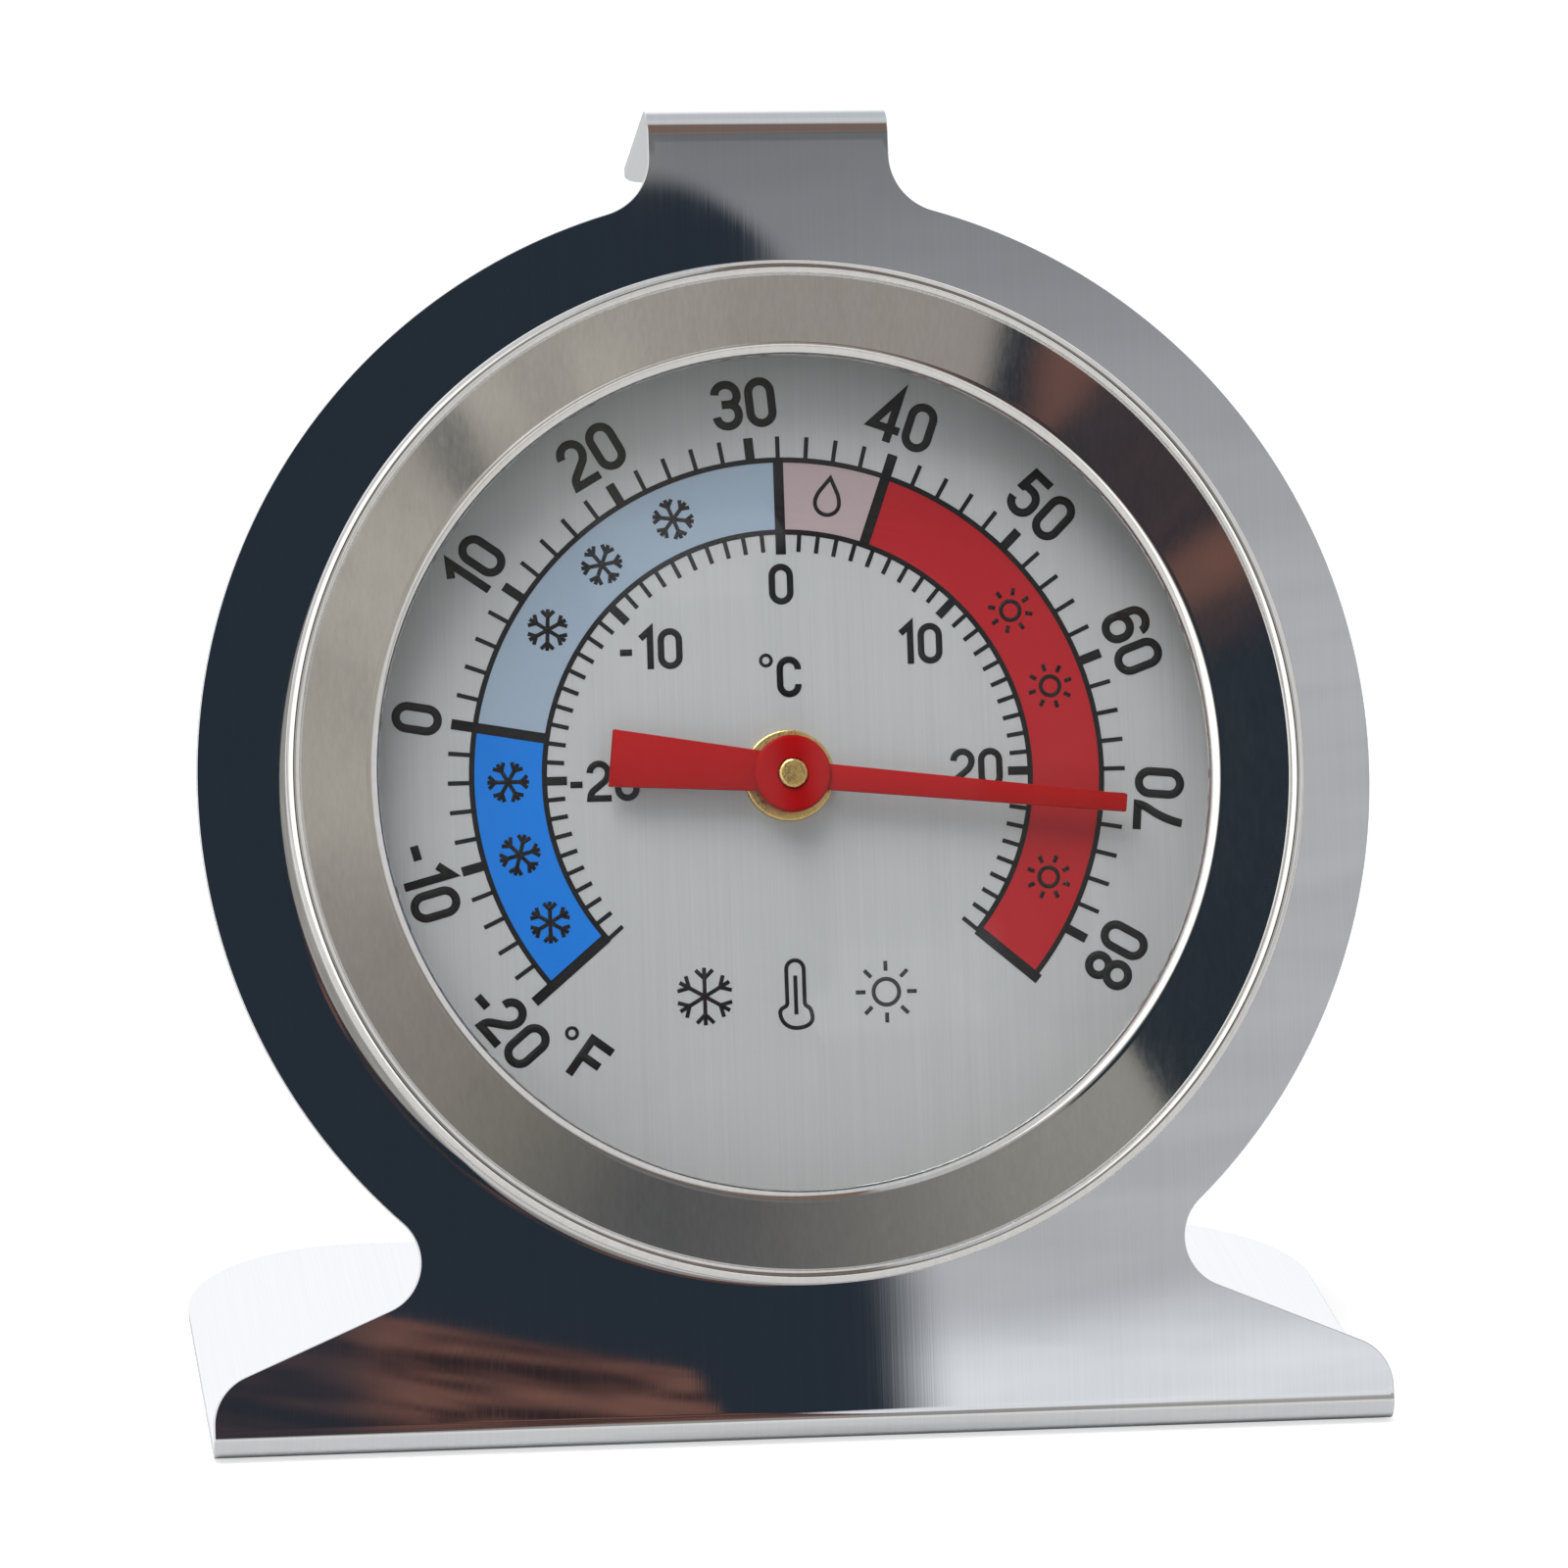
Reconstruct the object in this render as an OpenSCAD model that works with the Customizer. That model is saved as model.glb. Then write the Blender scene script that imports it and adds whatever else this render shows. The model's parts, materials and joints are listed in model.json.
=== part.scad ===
// Dial thermometer for a refrigerator or freezer, with a one-piece sheet-metal stand.
// The sheet has a leaning round plate, a foot that runs back from it and a hook at its top.
// A spiral bimetal strip behind the dial turns the pointer.
// Millimetres, +Z up, +X to the viewer's right. The foot rests on Z = 0.

/* [Stand] */
// Width of the stand across its foot
base_w = 60; // [58:0.5:62]
// Radius of the round plate
disc_r = 30; // [29.5:0.1:30.5]
// Distance from the floor corner up the plate to the dial's centre
dial_v = 33.9; // [33.5:0.1:34.5]
// Backward lean of the plate, in degrees from vertical
lean = 20.5; // [18:0.5:23]
// Thickness of the stand's sheet
sheet = 0.5; // [0.4:0.05:0.6]
// Outer radius of the bend between plate and foot
foot_bend_r = 1; // [0.8:0.1:1.4]
// Distance from the floor corner back to the foot's rear edge
foot_depth = 31.3; // [28:0.1:34]
// Radius of the foot's two rear corners
foot_corner_r = 9.7; // [4:0.1:12]
// Height, along the plate, of the centre of each wing's rounded corner
wing_v = 2.04; // [1.9:0.02:2.4]
// Fall of each wing's upper edge towards its corner, in degrees
wing_slope = 22.7; // [20:0.1:25]
// Radius of each wing's corner and of the notch above it
wing_r = 2.6; // [2.2:0.1:3]

/* [Hook] */
// Width of the hook tab
tab_w = 12.4; // [10:0.2:14]
// Radius of the fillets between the tab and the round plate
tab_fillet_r = 3; // [2:0.1:4]
// Distance from the floor corner up the plate to the hook's bend
hook_v = 66.7; // [66.2:0.1:68]
// Outer radius of the hook's bend
hook_r = 1.5; // [1.2:0.1:2]
// Droop of the tongue below square to the plate, in degrees
droop = 9.3; // [0:0.1:15]
// Length of the tongue behind its bend
tongue_l = 9.9; // [7:0.1:12]
// Radius of the tongue's free corners
tongue_corner_r = 1.2; // [0.5:0.1:3]

/* [Dial case] */
// Thickness of the case's and the bezel's drawn sheet
shell = 0.4; // [0.3:0.05:0.45]
// Outer radius of the case where it passes through the plate
case_r = 24.3; // [24.2:0.05:24.35]
// Outer radius of the case behind the dial's seat
cup_r = 22.3; // [21.8:0.1:22.5]
// Depth of the case's back behind the plate's front face
case_depth = 8.5; // [8.4:0.1:9.5]
// Gap between the case and its hole in the plate
case_gap = 0.2; // [0.15:0.05:0.3]

/* [Bezel and lens] */
// Outer radius of the bezel
bezel_r = 25.8; // [25.8:0.05:26]
// Height of the bezel's bead in front of the plate
bezel_h = 4.15; // [4.15:0.05:4.5]
// Radius of the bezel's rolled bead
bead_r = 0.4; // [0.35:0.05:0.4]
// Radius of the opening in the bezel
lip_r = 21.04; // [20.5:0.02:21.1]
// Radius at which the bezel's band starts to roll down to the lens
roll_r = 21.65; // [21.6:0.05:22.4]
// Drop of the band from the bead to the roll
band_drop = 0.4; // [0.3:0.05:0.45]
// Front face of the lens in front of the plate
lens_front = 2.8; // [2.75:0.05:2.8]
// Thickness of the glass
lens_t = 1.2; // [1:0.1:1.2]

/* [Dial] */
// Front face of the dial, behind the plate's front face
dial_back = 0.75; // [0.7:0.05:0.8]
// Thickness of the dial sheet
dial_t = 0.4; // [0.3:0.05:0.4]
// Radius of the bush's flange on the dial's face
bush_flange_r = 2.3; // [2:0.1:2.6]

/* [Movement] */
// Radius of the arbor
arbor_r = 0.75; // [0.7:0.05:0.8]
// Radial running clearance of the arbor in its two bushes
run_gap = 0.05; // [0.03:0.01:0.08]
// Thickness of the bimetal strip
strip_t = 0.35; // [0.25:0.05:0.4]
// Width of the bimetal strip
strip_w = 2.6; // [2.2:0.1:2.6]
// Radius of the coil at its fixed outer end
coil_r = 13; // [11:0.5:14]
// Whole turns in the coil, before its last quarter turn
coil_turns = 5; // [3:1:6]

/* [Pointer] */
// Reading at which the pointer is drawn, in degrees Fahrenheit
reading = 70.5; // [-20:0.5:84]
// Length of the pointer from the arbor to its tip
tip_l = 17.15; // [15:0.05:18]
// Width of the pointer at its tip
tip_w = 0.9; // [0.6:0.05:1.2]
// Width of the pointer at its hub
neck_w = 1.36; // [1.2:0.02:1.8]
// Length of the pointer's tail
tail_l = 9.2; // [7:0.1:10]
// Width of the tail at its free end
tail_w = 2.9; // [2:0.1:3.4]
// Width of the tail at the hub
tail_neck_w = 1.85; // [1.4:0.05:2.2]
// Radius of the pointer's raised hub
hub_r = 1.95; // [1.8:0.05:2.2]

/* [Hidden] */

$fn = 128;
// Overshoot of every cutting tool
eps = 0.1;

// Tangent points of the foot's bend, from the floor corner
foot_start = foot_bend_r / tan((90 - lean) / 2);
// Half widths of the stand
half_w = base_w / 2;
half_tab = tab_w / 2;
// Dial centre on the plate
dial_at = [0, dial_v];

// Unit vectors square to a wing's upper edge and along it towards the plate
wing_up = [sin(wing_slope), cos(wing_slope)];
wing_in = [-cos(wing_slope), sin(wing_slope)];
// Centre of the wing's corner, and of the notch that is tangent to wing and round plate
wing_at = [half_w - wing_r, wing_v];
notch_foot = wing_up * (wing_up * wing_at + 2 * wing_r) - dial_at;
notch_along = notch_foot * wing_in;
notch_run = -notch_along - sqrt(
    pow(notch_along, 2) - notch_foot * notch_foot + pow(disc_r + wing_r, 2)
);
notch_at = dial_at + notch_foot + notch_run * wing_in;
// Centre of the fillet that is tangent to the tab and the round plate
fillet_u = half_tab + tab_fillet_r;
fillet_at = [fillet_u, dial_v + sqrt(pow(disc_r + tab_fillet_r, 2) - pow(fillet_u, 2))];

// Section vectors, up the plate and out of its front: square to the tongue, and along it
tongue_up = [cos(droop), -sin(droop)];
tongue_out = [-sin(droop), -cos(droop)];

// Offsets in front of the plate's front face, negative behind it
flange_top = shell;
lens_back = lens_front - lens_t;
crease = bezel_h - bead_r;
dial_front = -dial_back;
dial_seat = dial_front - dial_t;
case_back = -case_depth;
case_floor = case_back + shell;
// The outer ring of the case's back stands in from its centre
case_step = 0.5;
step_r = 16;
// Radius of the case's back corner
case_corner_r = 1;
// Bead behind the plate that locks the case in its hole
hole_r = case_r + case_gap;
lock_r = hole_r + 0.45;
// Outer radius of the case's front flange, which the bezel's skirt fits over
flange_r = bezel_r - shell;
// Gap between the lens and the bezel's wall
lens_gap = 0.2;

// Stack along the arbor
bush_flange_t = 0.4;
bush_top = dial_front + bush_flange_t;
bush_rear = dial_seat - 0.4;
end_play = 0.1;
washer_t = 0.3;
washer_r = 1.6;
collet_top = bush_rear - end_play - washer_t;
collet_len = 3.35;
collet_r = 2;
collet_rear = collet_top - collet_len;
rear_flange_top = collet_rear - washer_t - end_play;
bridge_top = rear_flange_top - bush_flange_t;
bridge_t = 0.5;
bridge_w = 5;
bridge_half = 8.5;
bridge_foot = 12.5;
rivet_u = 10.3;
rivet_r = 0.8;
bush_r = 1.3;
boss_r = 1.5;
boss_top = 0.35;
pointer_t = 0.4;
hub_top = boss_top + 0.65;
arbor_front = hub_top + 0.2;
arbor_rear = bridge_top - 1.2;
bore_r = arbor_r + run_gap;

// Coil: the strip's middle line grows evenly from the collet to the post
strip_back = collet_top - 0.45 - strip_w;
coil_start_r = collet_r + 0.35;
coil_turn = 360 * coil_turns + 90;
coil_steps = 30 * coil_turns + 8;
slot_gap = 0.05;
post_slot_gap = 0.12;
slot_depth = 0.85;
post_r = 1.1;
post_tail_r = 0.7;
post_top = collet_top - 0.1;
coil_rivet_r = 0.35;
coil_rivet_t = strip_back + strip_w / 2;
collet_pin_r = 0.3;

// The dial turns 2.5 degrees clockwise for each degree Fahrenheit, from 32 at its top
pointer_turn = (reading - 32) * 2.5;

// Middle of the whole depth, from the bezel's lowest bead to the hook's tip
depth_front = (dial_v - bezel_r + bead_r) * sin(lean) - crease * cos(lean) - bead_r;
hook_back = hook_v * sin(lean) + hook_r * cos(lean) + hook_r * sin(lean + droop)
    + tongue_l * cos(lean + droop);
depth_mid = (depth_front + max(hook_back, foot_depth)) / 2;

// A place behind and above the floor corner, as distances up the plate and out of its front
function on_plate(back, up) = [
    back * sin(lean) + up * cos(lean), up * sin(lean) - back * cos(lean)
];

// Points of a round stretch from one angle to another
function arc(at, rx, ry, from, to, steps) = [
    for (i = [0 : steps]) let (a = from + (to - from) * i / steps)
        [at[0] + rx * cos(a), at[1] + ry * sin(a)]
];

// Right half of the plate's outline: wing, notch, round plate, fillet and tab
notch_angle = atan2(dial_v - notch_at[1], -notch_at[0]);
fillet_angle = atan2(fillet_at[1] - dial_v, fillet_u);
right_half = concat(
    [[half_w + eps, foot_start], [half_w + eps, wing_v]],
    arc(wing_at, wing_r, wing_r, 0, 90 - wing_slope, 10),
    arc(notch_at, wing_r, wing_r, 270 - wing_slope, notch_angle, 16),
    arc(dial_at, disc_r, disc_r, notch_angle - 180, fillet_angle, 60),
    arc(fillet_at, tab_fillet_r, tab_fillet_r, fillet_angle + 180, 180, 10),
    [[half_tab, foot_start + hook_v + eps]]
);

// Radius of the coil's middle line after a share of its length
function coil_radius(share) = coil_start_r + (coil_r - coil_start_r) * share;

// One edge of the strip, half its thickness off the middle line
function coil_edge(off) = [
    for (i = [0 : coil_steps]) let (s = i / coil_steps, r = coil_radius(s) + off)
        [r * cos(coil_turn * s), r * sin(coil_turn * s)]
];

// Floor corner of the stand as the origin: X across, Y back
module stand_frame() {
    translate([0, -depth_mid, 0]) children();
}

// X across, Y up the plate from the floor corner, Z out of its front face
module plate_frame() {
    stand_frame() rotate([90 - lean, 0, 0]) children();
}

// The same directions, with the origin at the dial's centre
module dial_frame() {
    plate_frame() translate([0, dial_v, 0]) children();
}

module tube(outer, inner, bottom, top) {
    translate([0, 0, bottom]) difference() {
        cylinder(r = outer, h = top - bottom);
        translate([0, 0, -eps]) cylinder(r = inner, h = top - bottom + 2 * eps);
    }
}

module rod(r, bottom, top) {
    translate([0, 0, bottom]) cylinder(r = r, h = top - bottom);
}

// Waste outside a rounded corner whose centre is the origin, from Z = 0 up through a sheet
module corner_waste(r) {
    translate([0, 0, -eps]) linear_extrude(sheet + 2 * eps) difference() {
        square(r + eps);
        circle(r);
    }
}

// The sheet's section: foot, bend, plate, bend and tongue, with X up the plate
module stand_section() {
    foot_at = [foot_start, -foot_bend_r];
    hook_at = [hook_v, -hook_r];
    foot_inner = foot_bend_r - sheet;
    hook_inner = hook_r - sheet;
    polygon(concat(
        [on_plate(foot_depth, 0)],
        arc(foot_at, foot_bend_r, foot_bend_r, 180 + lean, 90, 12),
        arc(hook_at, hook_r, hook_r, 90, -droop, 12),
        [
            hook_at + hook_r * tongue_up + tongue_l * tongue_out,
            hook_at + hook_inner * tongue_up + tongue_l * tongue_out
        ],
        arc(hook_at, hook_inner, hook_inner, -droop, 90, 12),
        arc(foot_at, foot_inner, foot_inner, 90, 180 + lean, 12),
        [on_plate(foot_depth, sheet)]
    ));
}

// Everything of the plate's full width that lies outside its outline
module plate_waste() {
    left_half = [
        for (i = [1 : len(right_half)]) let (p = right_half[len(right_half) - i]) [-p[0], p[1]]
    ];
    translate([0, 0, -sheet - eps]) linear_extrude(sheet + 2 * eps) difference() {
        translate([-base_w, foot_start]) square([2 * base_w, hook_v]);
        polygon(concat(right_half, left_half));
    }
}

module stand_plate() {
    tab_side = half_w - half_tab + eps;
    color("lightgrey") difference() {
        plate_frame() rotate([90, 0, 90]) linear_extrude(base_w, center = true)
            stand_section();
        plate_frame() plate_waste();
        dial_frame() rod(hole_r, -sheet - eps, eps);
        for (side = [0, 1]) mirror([side, 0, 0]) {
            plate_frame() translate([half_tab, fillet_at[1], -2 * tongue_l])
                cube([tab_side, hook_v, 2 * tongue_l + eps]);
            plate_frame() translate([0, hook_v, -hook_r]) rotate([-90 - droop, 0, 0])
                translate([half_tab, tongue_l, hook_r - sheet]
                    - tongue_corner_r * [1, 1, 0]) corner_waste(tongue_corner_r);
            stand_frame() translate([half_w, foot_depth, 0] - foot_corner_r * [1, 1, 0])
                corner_waste(foot_corner_r);
        }
    }
}

// A drawn cup: flange, wall with its locking bead, dial seat and stepped back
module rear_case() {
    inner_r = case_r - shell;
    ring_back = case_back + case_step;
    color("silver") dial_frame() difference() {
        rotate_extrude() polygon(concat(
            [
                [flange_r, flange_top],
                [flange_r, 0],
                [case_r, 0],
                [case_r, -sheet],
                [lock_r, -sheet],
                [lock_r, -sheet - 0.3],
                [case_r, -sheet - 0.8],
                [case_r, dial_seat - shell],
                [cup_r, dial_seat - shell]
            ],
            arc(
                [cup_r - case_corner_r, ring_back + case_corner_r],
                case_corner_r, case_corner_r, 0, -90, 8
            ),
            [
                [step_r, ring_back],
                [step_r - case_step, case_back],
                [0, case_back],
                [0, case_floor],
                [step_r - case_step - shell / 2, case_floor],
                [step_r - shell / 2, ring_back + shell],
                [cup_r - case_corner_r, ring_back + shell],
                [cup_r - shell, ring_back + case_corner_r],
                [cup_r - shell, dial_seat],
                [inner_r, dial_seat],
                [inner_r, flange_top]
            ]
        ));
        for (side = [-1, 1]) translate([side * rivet_u, 0, 0])
            rod(rivet_r, case_back - eps, case_floor + eps);
        translate([0, coil_r, 0]) rod(post_tail_r, case_back - eps, case_floor + eps);
    }
}

// A rolled ring: skirt over the case's flange, bead, dished band and lip down to the lens
module bezel() {
    roll_w = roll_r - lip_r;
    roll_h = crease - band_drop - lens_front;
    bead_at = [bezel_r - bead_r, crease];
    color("silver") dial_frame() rotate_extrude() polygon(concat(
        [[bezel_r, 0]],
        arc(bead_at, bead_r, bead_r, 0, 180, 16),
        arc([roll_r, lens_front], roll_w, roll_h, 90, 180, 12),
        arc([roll_r, lens_front], roll_w - shell, roll_h - shell, 180, 90, 12),
        [
            [bezel_r - 2 * bead_r, crease - shell],
            [flange_r, crease - shell],
            [flange_r, 0]
        ]
    ));
}

module lens() {
    color("white", 0.3) dial_frame() rod(flange_r - lens_gap, lens_back, lens_front);
}

module lens_gasket() {
    color("dimgray") dial_frame() tube(flange_r - 0.1, case_r - 0.2, flange_top, lens_back);
}

module spacer_ring() {
    color("whitesmoke") dial_frame()
        tube(case_r - shell - 0.1, cup_r + 0.4, dial_front, lens_back);
}

module dial_plate() {
    color("gainsboro") dial_frame()
        tube(case_r - shell - 0.15, bush_r, dial_seat, dial_front);
}

// Flanged brass bush, riveted over behind the dial
module front_bush() {
    color("goldenrod") dial_frame() difference() {
        union() {
            rod(bush_r, bush_rear, bush_top);
            rod(bush_flange_r, dial_front, bush_top);
            rod(bush_r + 0.5, bush_rear, dial_seat);
        }
        rod(bore_r, bush_rear - eps, bush_top + eps);
    }
}

// Strip bent to a hat shape: its feet are riveted to the case's back
module bridge() {
    color("darkgrey") dial_frame() difference() {
        rotate([90, 0, 0]) linear_extrude(bridge_w, center = true) for (side = [0, 1])
            mirror([side, 0]) {
                translate([0, bridge_top - bridge_t]) square([bridge_half, bridge_t]);
                translate([bridge_half - bridge_t, case_floor])
                    square([bridge_t, bridge_top - case_floor]);
                translate([bridge_half - bridge_t, case_floor])
                    square([bridge_foot - bridge_half + bridge_t, bridge_t]);
            }
        rod(bush_r, arbor_rear, 0);
        for (side = [-1, 1]) translate([side * rivet_u, 0, 0]) rod(rivet_r, case_back, 0);
    }
}

// Flanged brass bush, riveted over behind the bridge
module rear_bush() {
    rear = bridge_top - bridge_t - 0.35;
    color("goldenrod") dial_frame() difference() {
        union() {
            rod(bush_r, rear, rear_flange_top);
            rod(bush_r + 0.7, bridge_top, rear_flange_top);
            rod(bush_r + 0.4, rear, bridge_top - bridge_t);
        }
        rod(bore_r, rear - eps, rear_flange_top + eps);
    }
}

module bridge_rivets() {
    head_r = 1.5;
    head_t = 0.5;
    foot_top = case_floor + bridge_t;
    color("silver") dial_frame() for (side = [-1, 1]) translate([side * rivet_u, 0, 0]) {
        rod(rivet_r, case_back, foot_top);
        rod(head_r, case_back - head_t, case_back);
        rod(head_r - 0.2, foot_top, foot_top + head_t);
    }
}

// Slotted post, riveted through the case's back, that holds the coil's outer end
module coil_post() {
    head_t = 0.4;
    color("goldenrod") dial_frame() translate([0, coil_r, 0]) difference() {
        union() {
            rod(post_r, case_floor, post_top);
            rod(post_tail_r, case_back, case_floor);
            rod(post_r + 0.2, case_back - head_t, case_back);
        }
        translate([-post_r - eps, -strip_t / 2 - post_slot_gap, strip_back - slot_gap])
            cube([2 * post_r + 2 * eps, strip_t + 2 * post_slot_gap, post_top - strip_back + 1]);
        translate([0, post_r + eps, coil_rivet_t]) rotate([90, 0, 0])
            cylinder(r = coil_rivet_r, h = 2 * post_r + 2 * eps);
    }
}

module coil_rivet() {
    head_t = 0.3;
    shank = 2 * post_r;
    color("silver") dial_frame() translate([0, coil_r + post_r, coil_rivet_t])
        rotate([90, 0, 0]) {
            rod(coil_rivet_r, 0, shank);
            rod(2 * coil_rivet_r, -head_t, 0);
            rod(2 * coil_rivet_r, shank, shank + head_t);
        }
}

// Flat spiral strip: its inner tail sits in the collet's slot, its outer end in the post
module bimetal_coil() {
    last = coil_steps;
    tail_top = coil_start_r + strip_t / 2;
    tail_foot = collet_r - slot_depth + slot_gap;
    color("rosybrown") dial_frame() difference() {
        translate([0, 0, strip_back]) {
            linear_extrude(strip_w) polygon(concat(
                coil_edge(strip_t / 2),
                [for (i = [0 : last]) coil_edge(-strip_t / 2)[last - i]]
            ));
            translate([-post_r, coil_r - strip_t / 2, 0]) cube([post_r, strip_t, strip_w]);
            translate([tail_foot, -strip_t / 2, 0])
                cube([tail_top - tail_foot, strip_t, strip_w]);
        }
        translate([0, coil_r + strip_t, coil_rivet_t]) rotate([90, 0, 0])
            cylinder(r = coil_rivet_r, h = 2 * strip_t);
    }
}

module arbor() {
    nose = 0.2;
    color("gold") dial_frame() difference() {
        rotate_extrude() polygon(concat(
            [[0, arbor_rear], [arbor_r, arbor_rear]],
            arc([0, arbor_front - nose], arbor_r, nose, 0, 90, 8)
        ));
        collet_pin_solid(eps);
    }
}

// Collar that carries the coil's inner end
module coil_collet() {
    slot_w = strip_t + 2 * slot_gap;
    color("goldenrod") dial_frame() difference() {
        rod(collet_r, collet_rear, collet_top);
        rod(arbor_r, collet_rear - eps, collet_top + eps);
        translate([collet_r - slot_depth, -slot_w / 2, strip_back - slot_gap])
            cube([slot_depth + eps, slot_w, collet_top - strip_back + 2 * slot_gap]);
        collet_pin_solid(eps);
    }
}

// Cross pin, square to the coil's slot
module collet_pin_solid(extra) {
    translate([0, collet_r + extra, collet_rear + 0.5]) rotate([90, 0, 0])
        cylinder(r = collet_pin_r, h = 2 * (collet_r + extra));
}

module collet_pin() {
    color("silver") dial_frame() collet_pin_solid(0);
}

module thrust_washers() {
    color("gold") dial_frame() {
        tube(washer_r, arbor_r, collet_top, collet_top + washer_t);
        tube(washer_r, arbor_r, collet_rear - washer_t, collet_rear);
    }
}

// Collar that sets the pointer's height over the dial
module pointer_boss() {
    color("goldenrod") dial_frame() tube(boss_r, arbor_r, bush_top + end_play, boss_top);
}

module pointer() {
    color("crimson") dial_frame() rotate(-pointer_turn) difference() {
        union() {
            translate([0, 0, boss_top]) linear_extrude(pointer_t) {
                polygon([
                    [-neck_w / 2, 0],
                    [-tip_w / 2, tip_l],
                    [tip_w / 2, tip_l],
                    [neck_w / 2, 0]
                ]);
                polygon([
                    [-tail_neck_w / 2, 0],
                    [-tail_w / 2, -tail_l],
                    [tail_w / 2, -tail_l],
                    [tail_neck_w / 2, 0]
                ]);
            }
            rod(hub_r, boss_top, hub_top);
        }
        rod(arbor_r, boss_top - eps, hub_top + eps);
    }
}

stand_plate();
rear_case();
bezel();
lens();
lens_gasket();
spacer_ring();
dial_plate();
front_bush();
bridge();
rear_bush();
bridge_rivets();
coil_post();
coil_rivet();
bimetal_coil();
arbor();
coil_collet();
collet_pin();
thrust_washers();
pointer_boss();
pointer();
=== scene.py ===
import json
import math

import bmesh
import bpy
from mathutils import Matrix, Vector


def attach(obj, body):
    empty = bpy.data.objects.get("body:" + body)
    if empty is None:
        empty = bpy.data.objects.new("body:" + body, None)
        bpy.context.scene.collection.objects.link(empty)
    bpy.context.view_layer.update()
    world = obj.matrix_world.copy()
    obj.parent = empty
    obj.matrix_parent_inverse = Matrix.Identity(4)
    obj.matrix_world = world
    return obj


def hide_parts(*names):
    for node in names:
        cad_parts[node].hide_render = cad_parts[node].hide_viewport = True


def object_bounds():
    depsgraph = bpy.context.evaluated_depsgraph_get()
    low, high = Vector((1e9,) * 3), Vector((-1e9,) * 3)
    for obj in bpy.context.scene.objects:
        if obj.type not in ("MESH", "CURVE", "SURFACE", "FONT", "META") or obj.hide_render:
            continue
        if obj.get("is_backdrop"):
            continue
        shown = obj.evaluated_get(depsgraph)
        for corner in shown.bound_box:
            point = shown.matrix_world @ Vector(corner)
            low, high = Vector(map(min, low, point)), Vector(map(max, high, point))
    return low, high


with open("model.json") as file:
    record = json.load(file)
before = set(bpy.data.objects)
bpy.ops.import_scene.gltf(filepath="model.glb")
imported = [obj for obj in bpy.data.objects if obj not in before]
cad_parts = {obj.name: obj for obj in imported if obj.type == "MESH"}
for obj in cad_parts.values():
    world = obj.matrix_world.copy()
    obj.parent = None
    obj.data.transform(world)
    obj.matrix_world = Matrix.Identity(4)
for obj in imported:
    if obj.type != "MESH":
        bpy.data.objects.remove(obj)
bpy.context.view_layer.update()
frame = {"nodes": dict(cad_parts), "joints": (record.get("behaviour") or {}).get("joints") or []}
print("frame loaded")

# The dial frame, in millimetres: X to the right, Y up the plate, Z out of its front face
turnJoint = frame["joints"][0]
dialCentre = Vector(turnJoint["pos_m"])
lean = math.asin(-turnJoint["axis"][2])
dialHeight = 33.9  # up the plate, from the floor corner
millimetre = 0.001
dialPlace = (
    Matrix.Translation(dialCentre)
    @ Matrix.Rotation(math.pi / 2 - lean, 4, "X")
    @ Matrix.Scale(millimetre, 4)
)
mergeDistance = 1e-4
samePlace = 1e-3  # closer than this counts as the same
sharpAngle = math.radians(35)

cameraSet = {
    "place": (-0.05159, -0.36071, 0.13389),
    "forward": (0.1372, 0.9518, -0.2743),
    "up": (0.0228, 0.2738, 0.9615),
    "lens": 169.5, "sensor": 36, "clipStart": 0.01,
}


def addObject(name, data):
    made = bpy.data.objects.new(name, data)
    bpy.context.scene.collection.objects.link(made)
    return made


def makeCamera(s):
    data = bpy.data.cameras.new("camera")
    data.lens = s["lens"]
    data.sensor_width = s["sensor"]
    data.clip_start = s["clipStart"]
    camera = addObject("camera", data)
    back = -Vector(s["forward"]).normalized()
    side = Vector(s["up"]).cross(back).normalized()
    turn = Matrix((side, back.cross(side), back)).transposed().to_4x4()
    camera.matrix_world = Matrix.Translation(s["place"]) @ turn
    bpy.context.scene.camera = camera


makeCamera(cameraSet)
bpy.context.scene.view_settings.view_transform = "Standard"
print("camera set")


def srgb(red, green, blue):
    def toLinear(value):
        share = value / 255
        return share / 12.92 if share <= 0.04045 else ((share + 0.055) / 1.055) ** 2.4

    return (toLinear(red), toLinear(green), toLinear(blue), 1)


def addNode(tree, kind, **values):
    node = tree.nodes.new(kind)
    for key, value in values.items():
        setattr(node, key, value)
    return node


def plug(tree, source, target):
    tree.links.new(source, target)


# Gives a socket a plain value, or a link where the value is another node's output
def feed(tree, value, socket):
    if isinstance(value, (int, float, tuple)):
        socket.default_value = value
    else:
        plug(tree, value, socket)


def mathNode(tree, operation, *values):
    node = addNode(tree, "ShaderNodeMath", operation=operation)
    for value, socket in zip(values, node.inputs):
        feed(tree, value, socket)
    return node.outputs[0]


def times(tree, value, *others):
    for other in others:
        value = mathNode(tree, "MULTIPLY", value, other)
    return value


def rangeNode(tree, value, low, high, start, end, smooth=True):
    kind = "SMOOTHSTEP" if smooth else "LINEAR"
    node = addNode(tree, "ShaderNodeMapRange", interpolation_type=kind)
    plug(tree, value, node.inputs["Value"])
    limits = {"From Min": low, "From Max": high, "To Min": start, "To Max": end}
    for label, limit in limits.items():
        node.inputs[label].default_value = limit
    return node.outputs["Result"]


def fadeIn(tree, value, low, high):
    return rangeNode(tree, value, low, high, 0.0, 1.0)


def fadeOut(tree, value, low, high):
    return rangeNode(tree, value, low, high, 1.0, 0.0)


def mixColours(tree, factor, first, second):
    node = addNode(tree, "ShaderNodeMix", data_type="RGBA")
    for index, value in ((0, factor), (6, first), (7, second)):
        feed(tree, value, node.inputs[index])
    return node.outputs[2]


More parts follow.
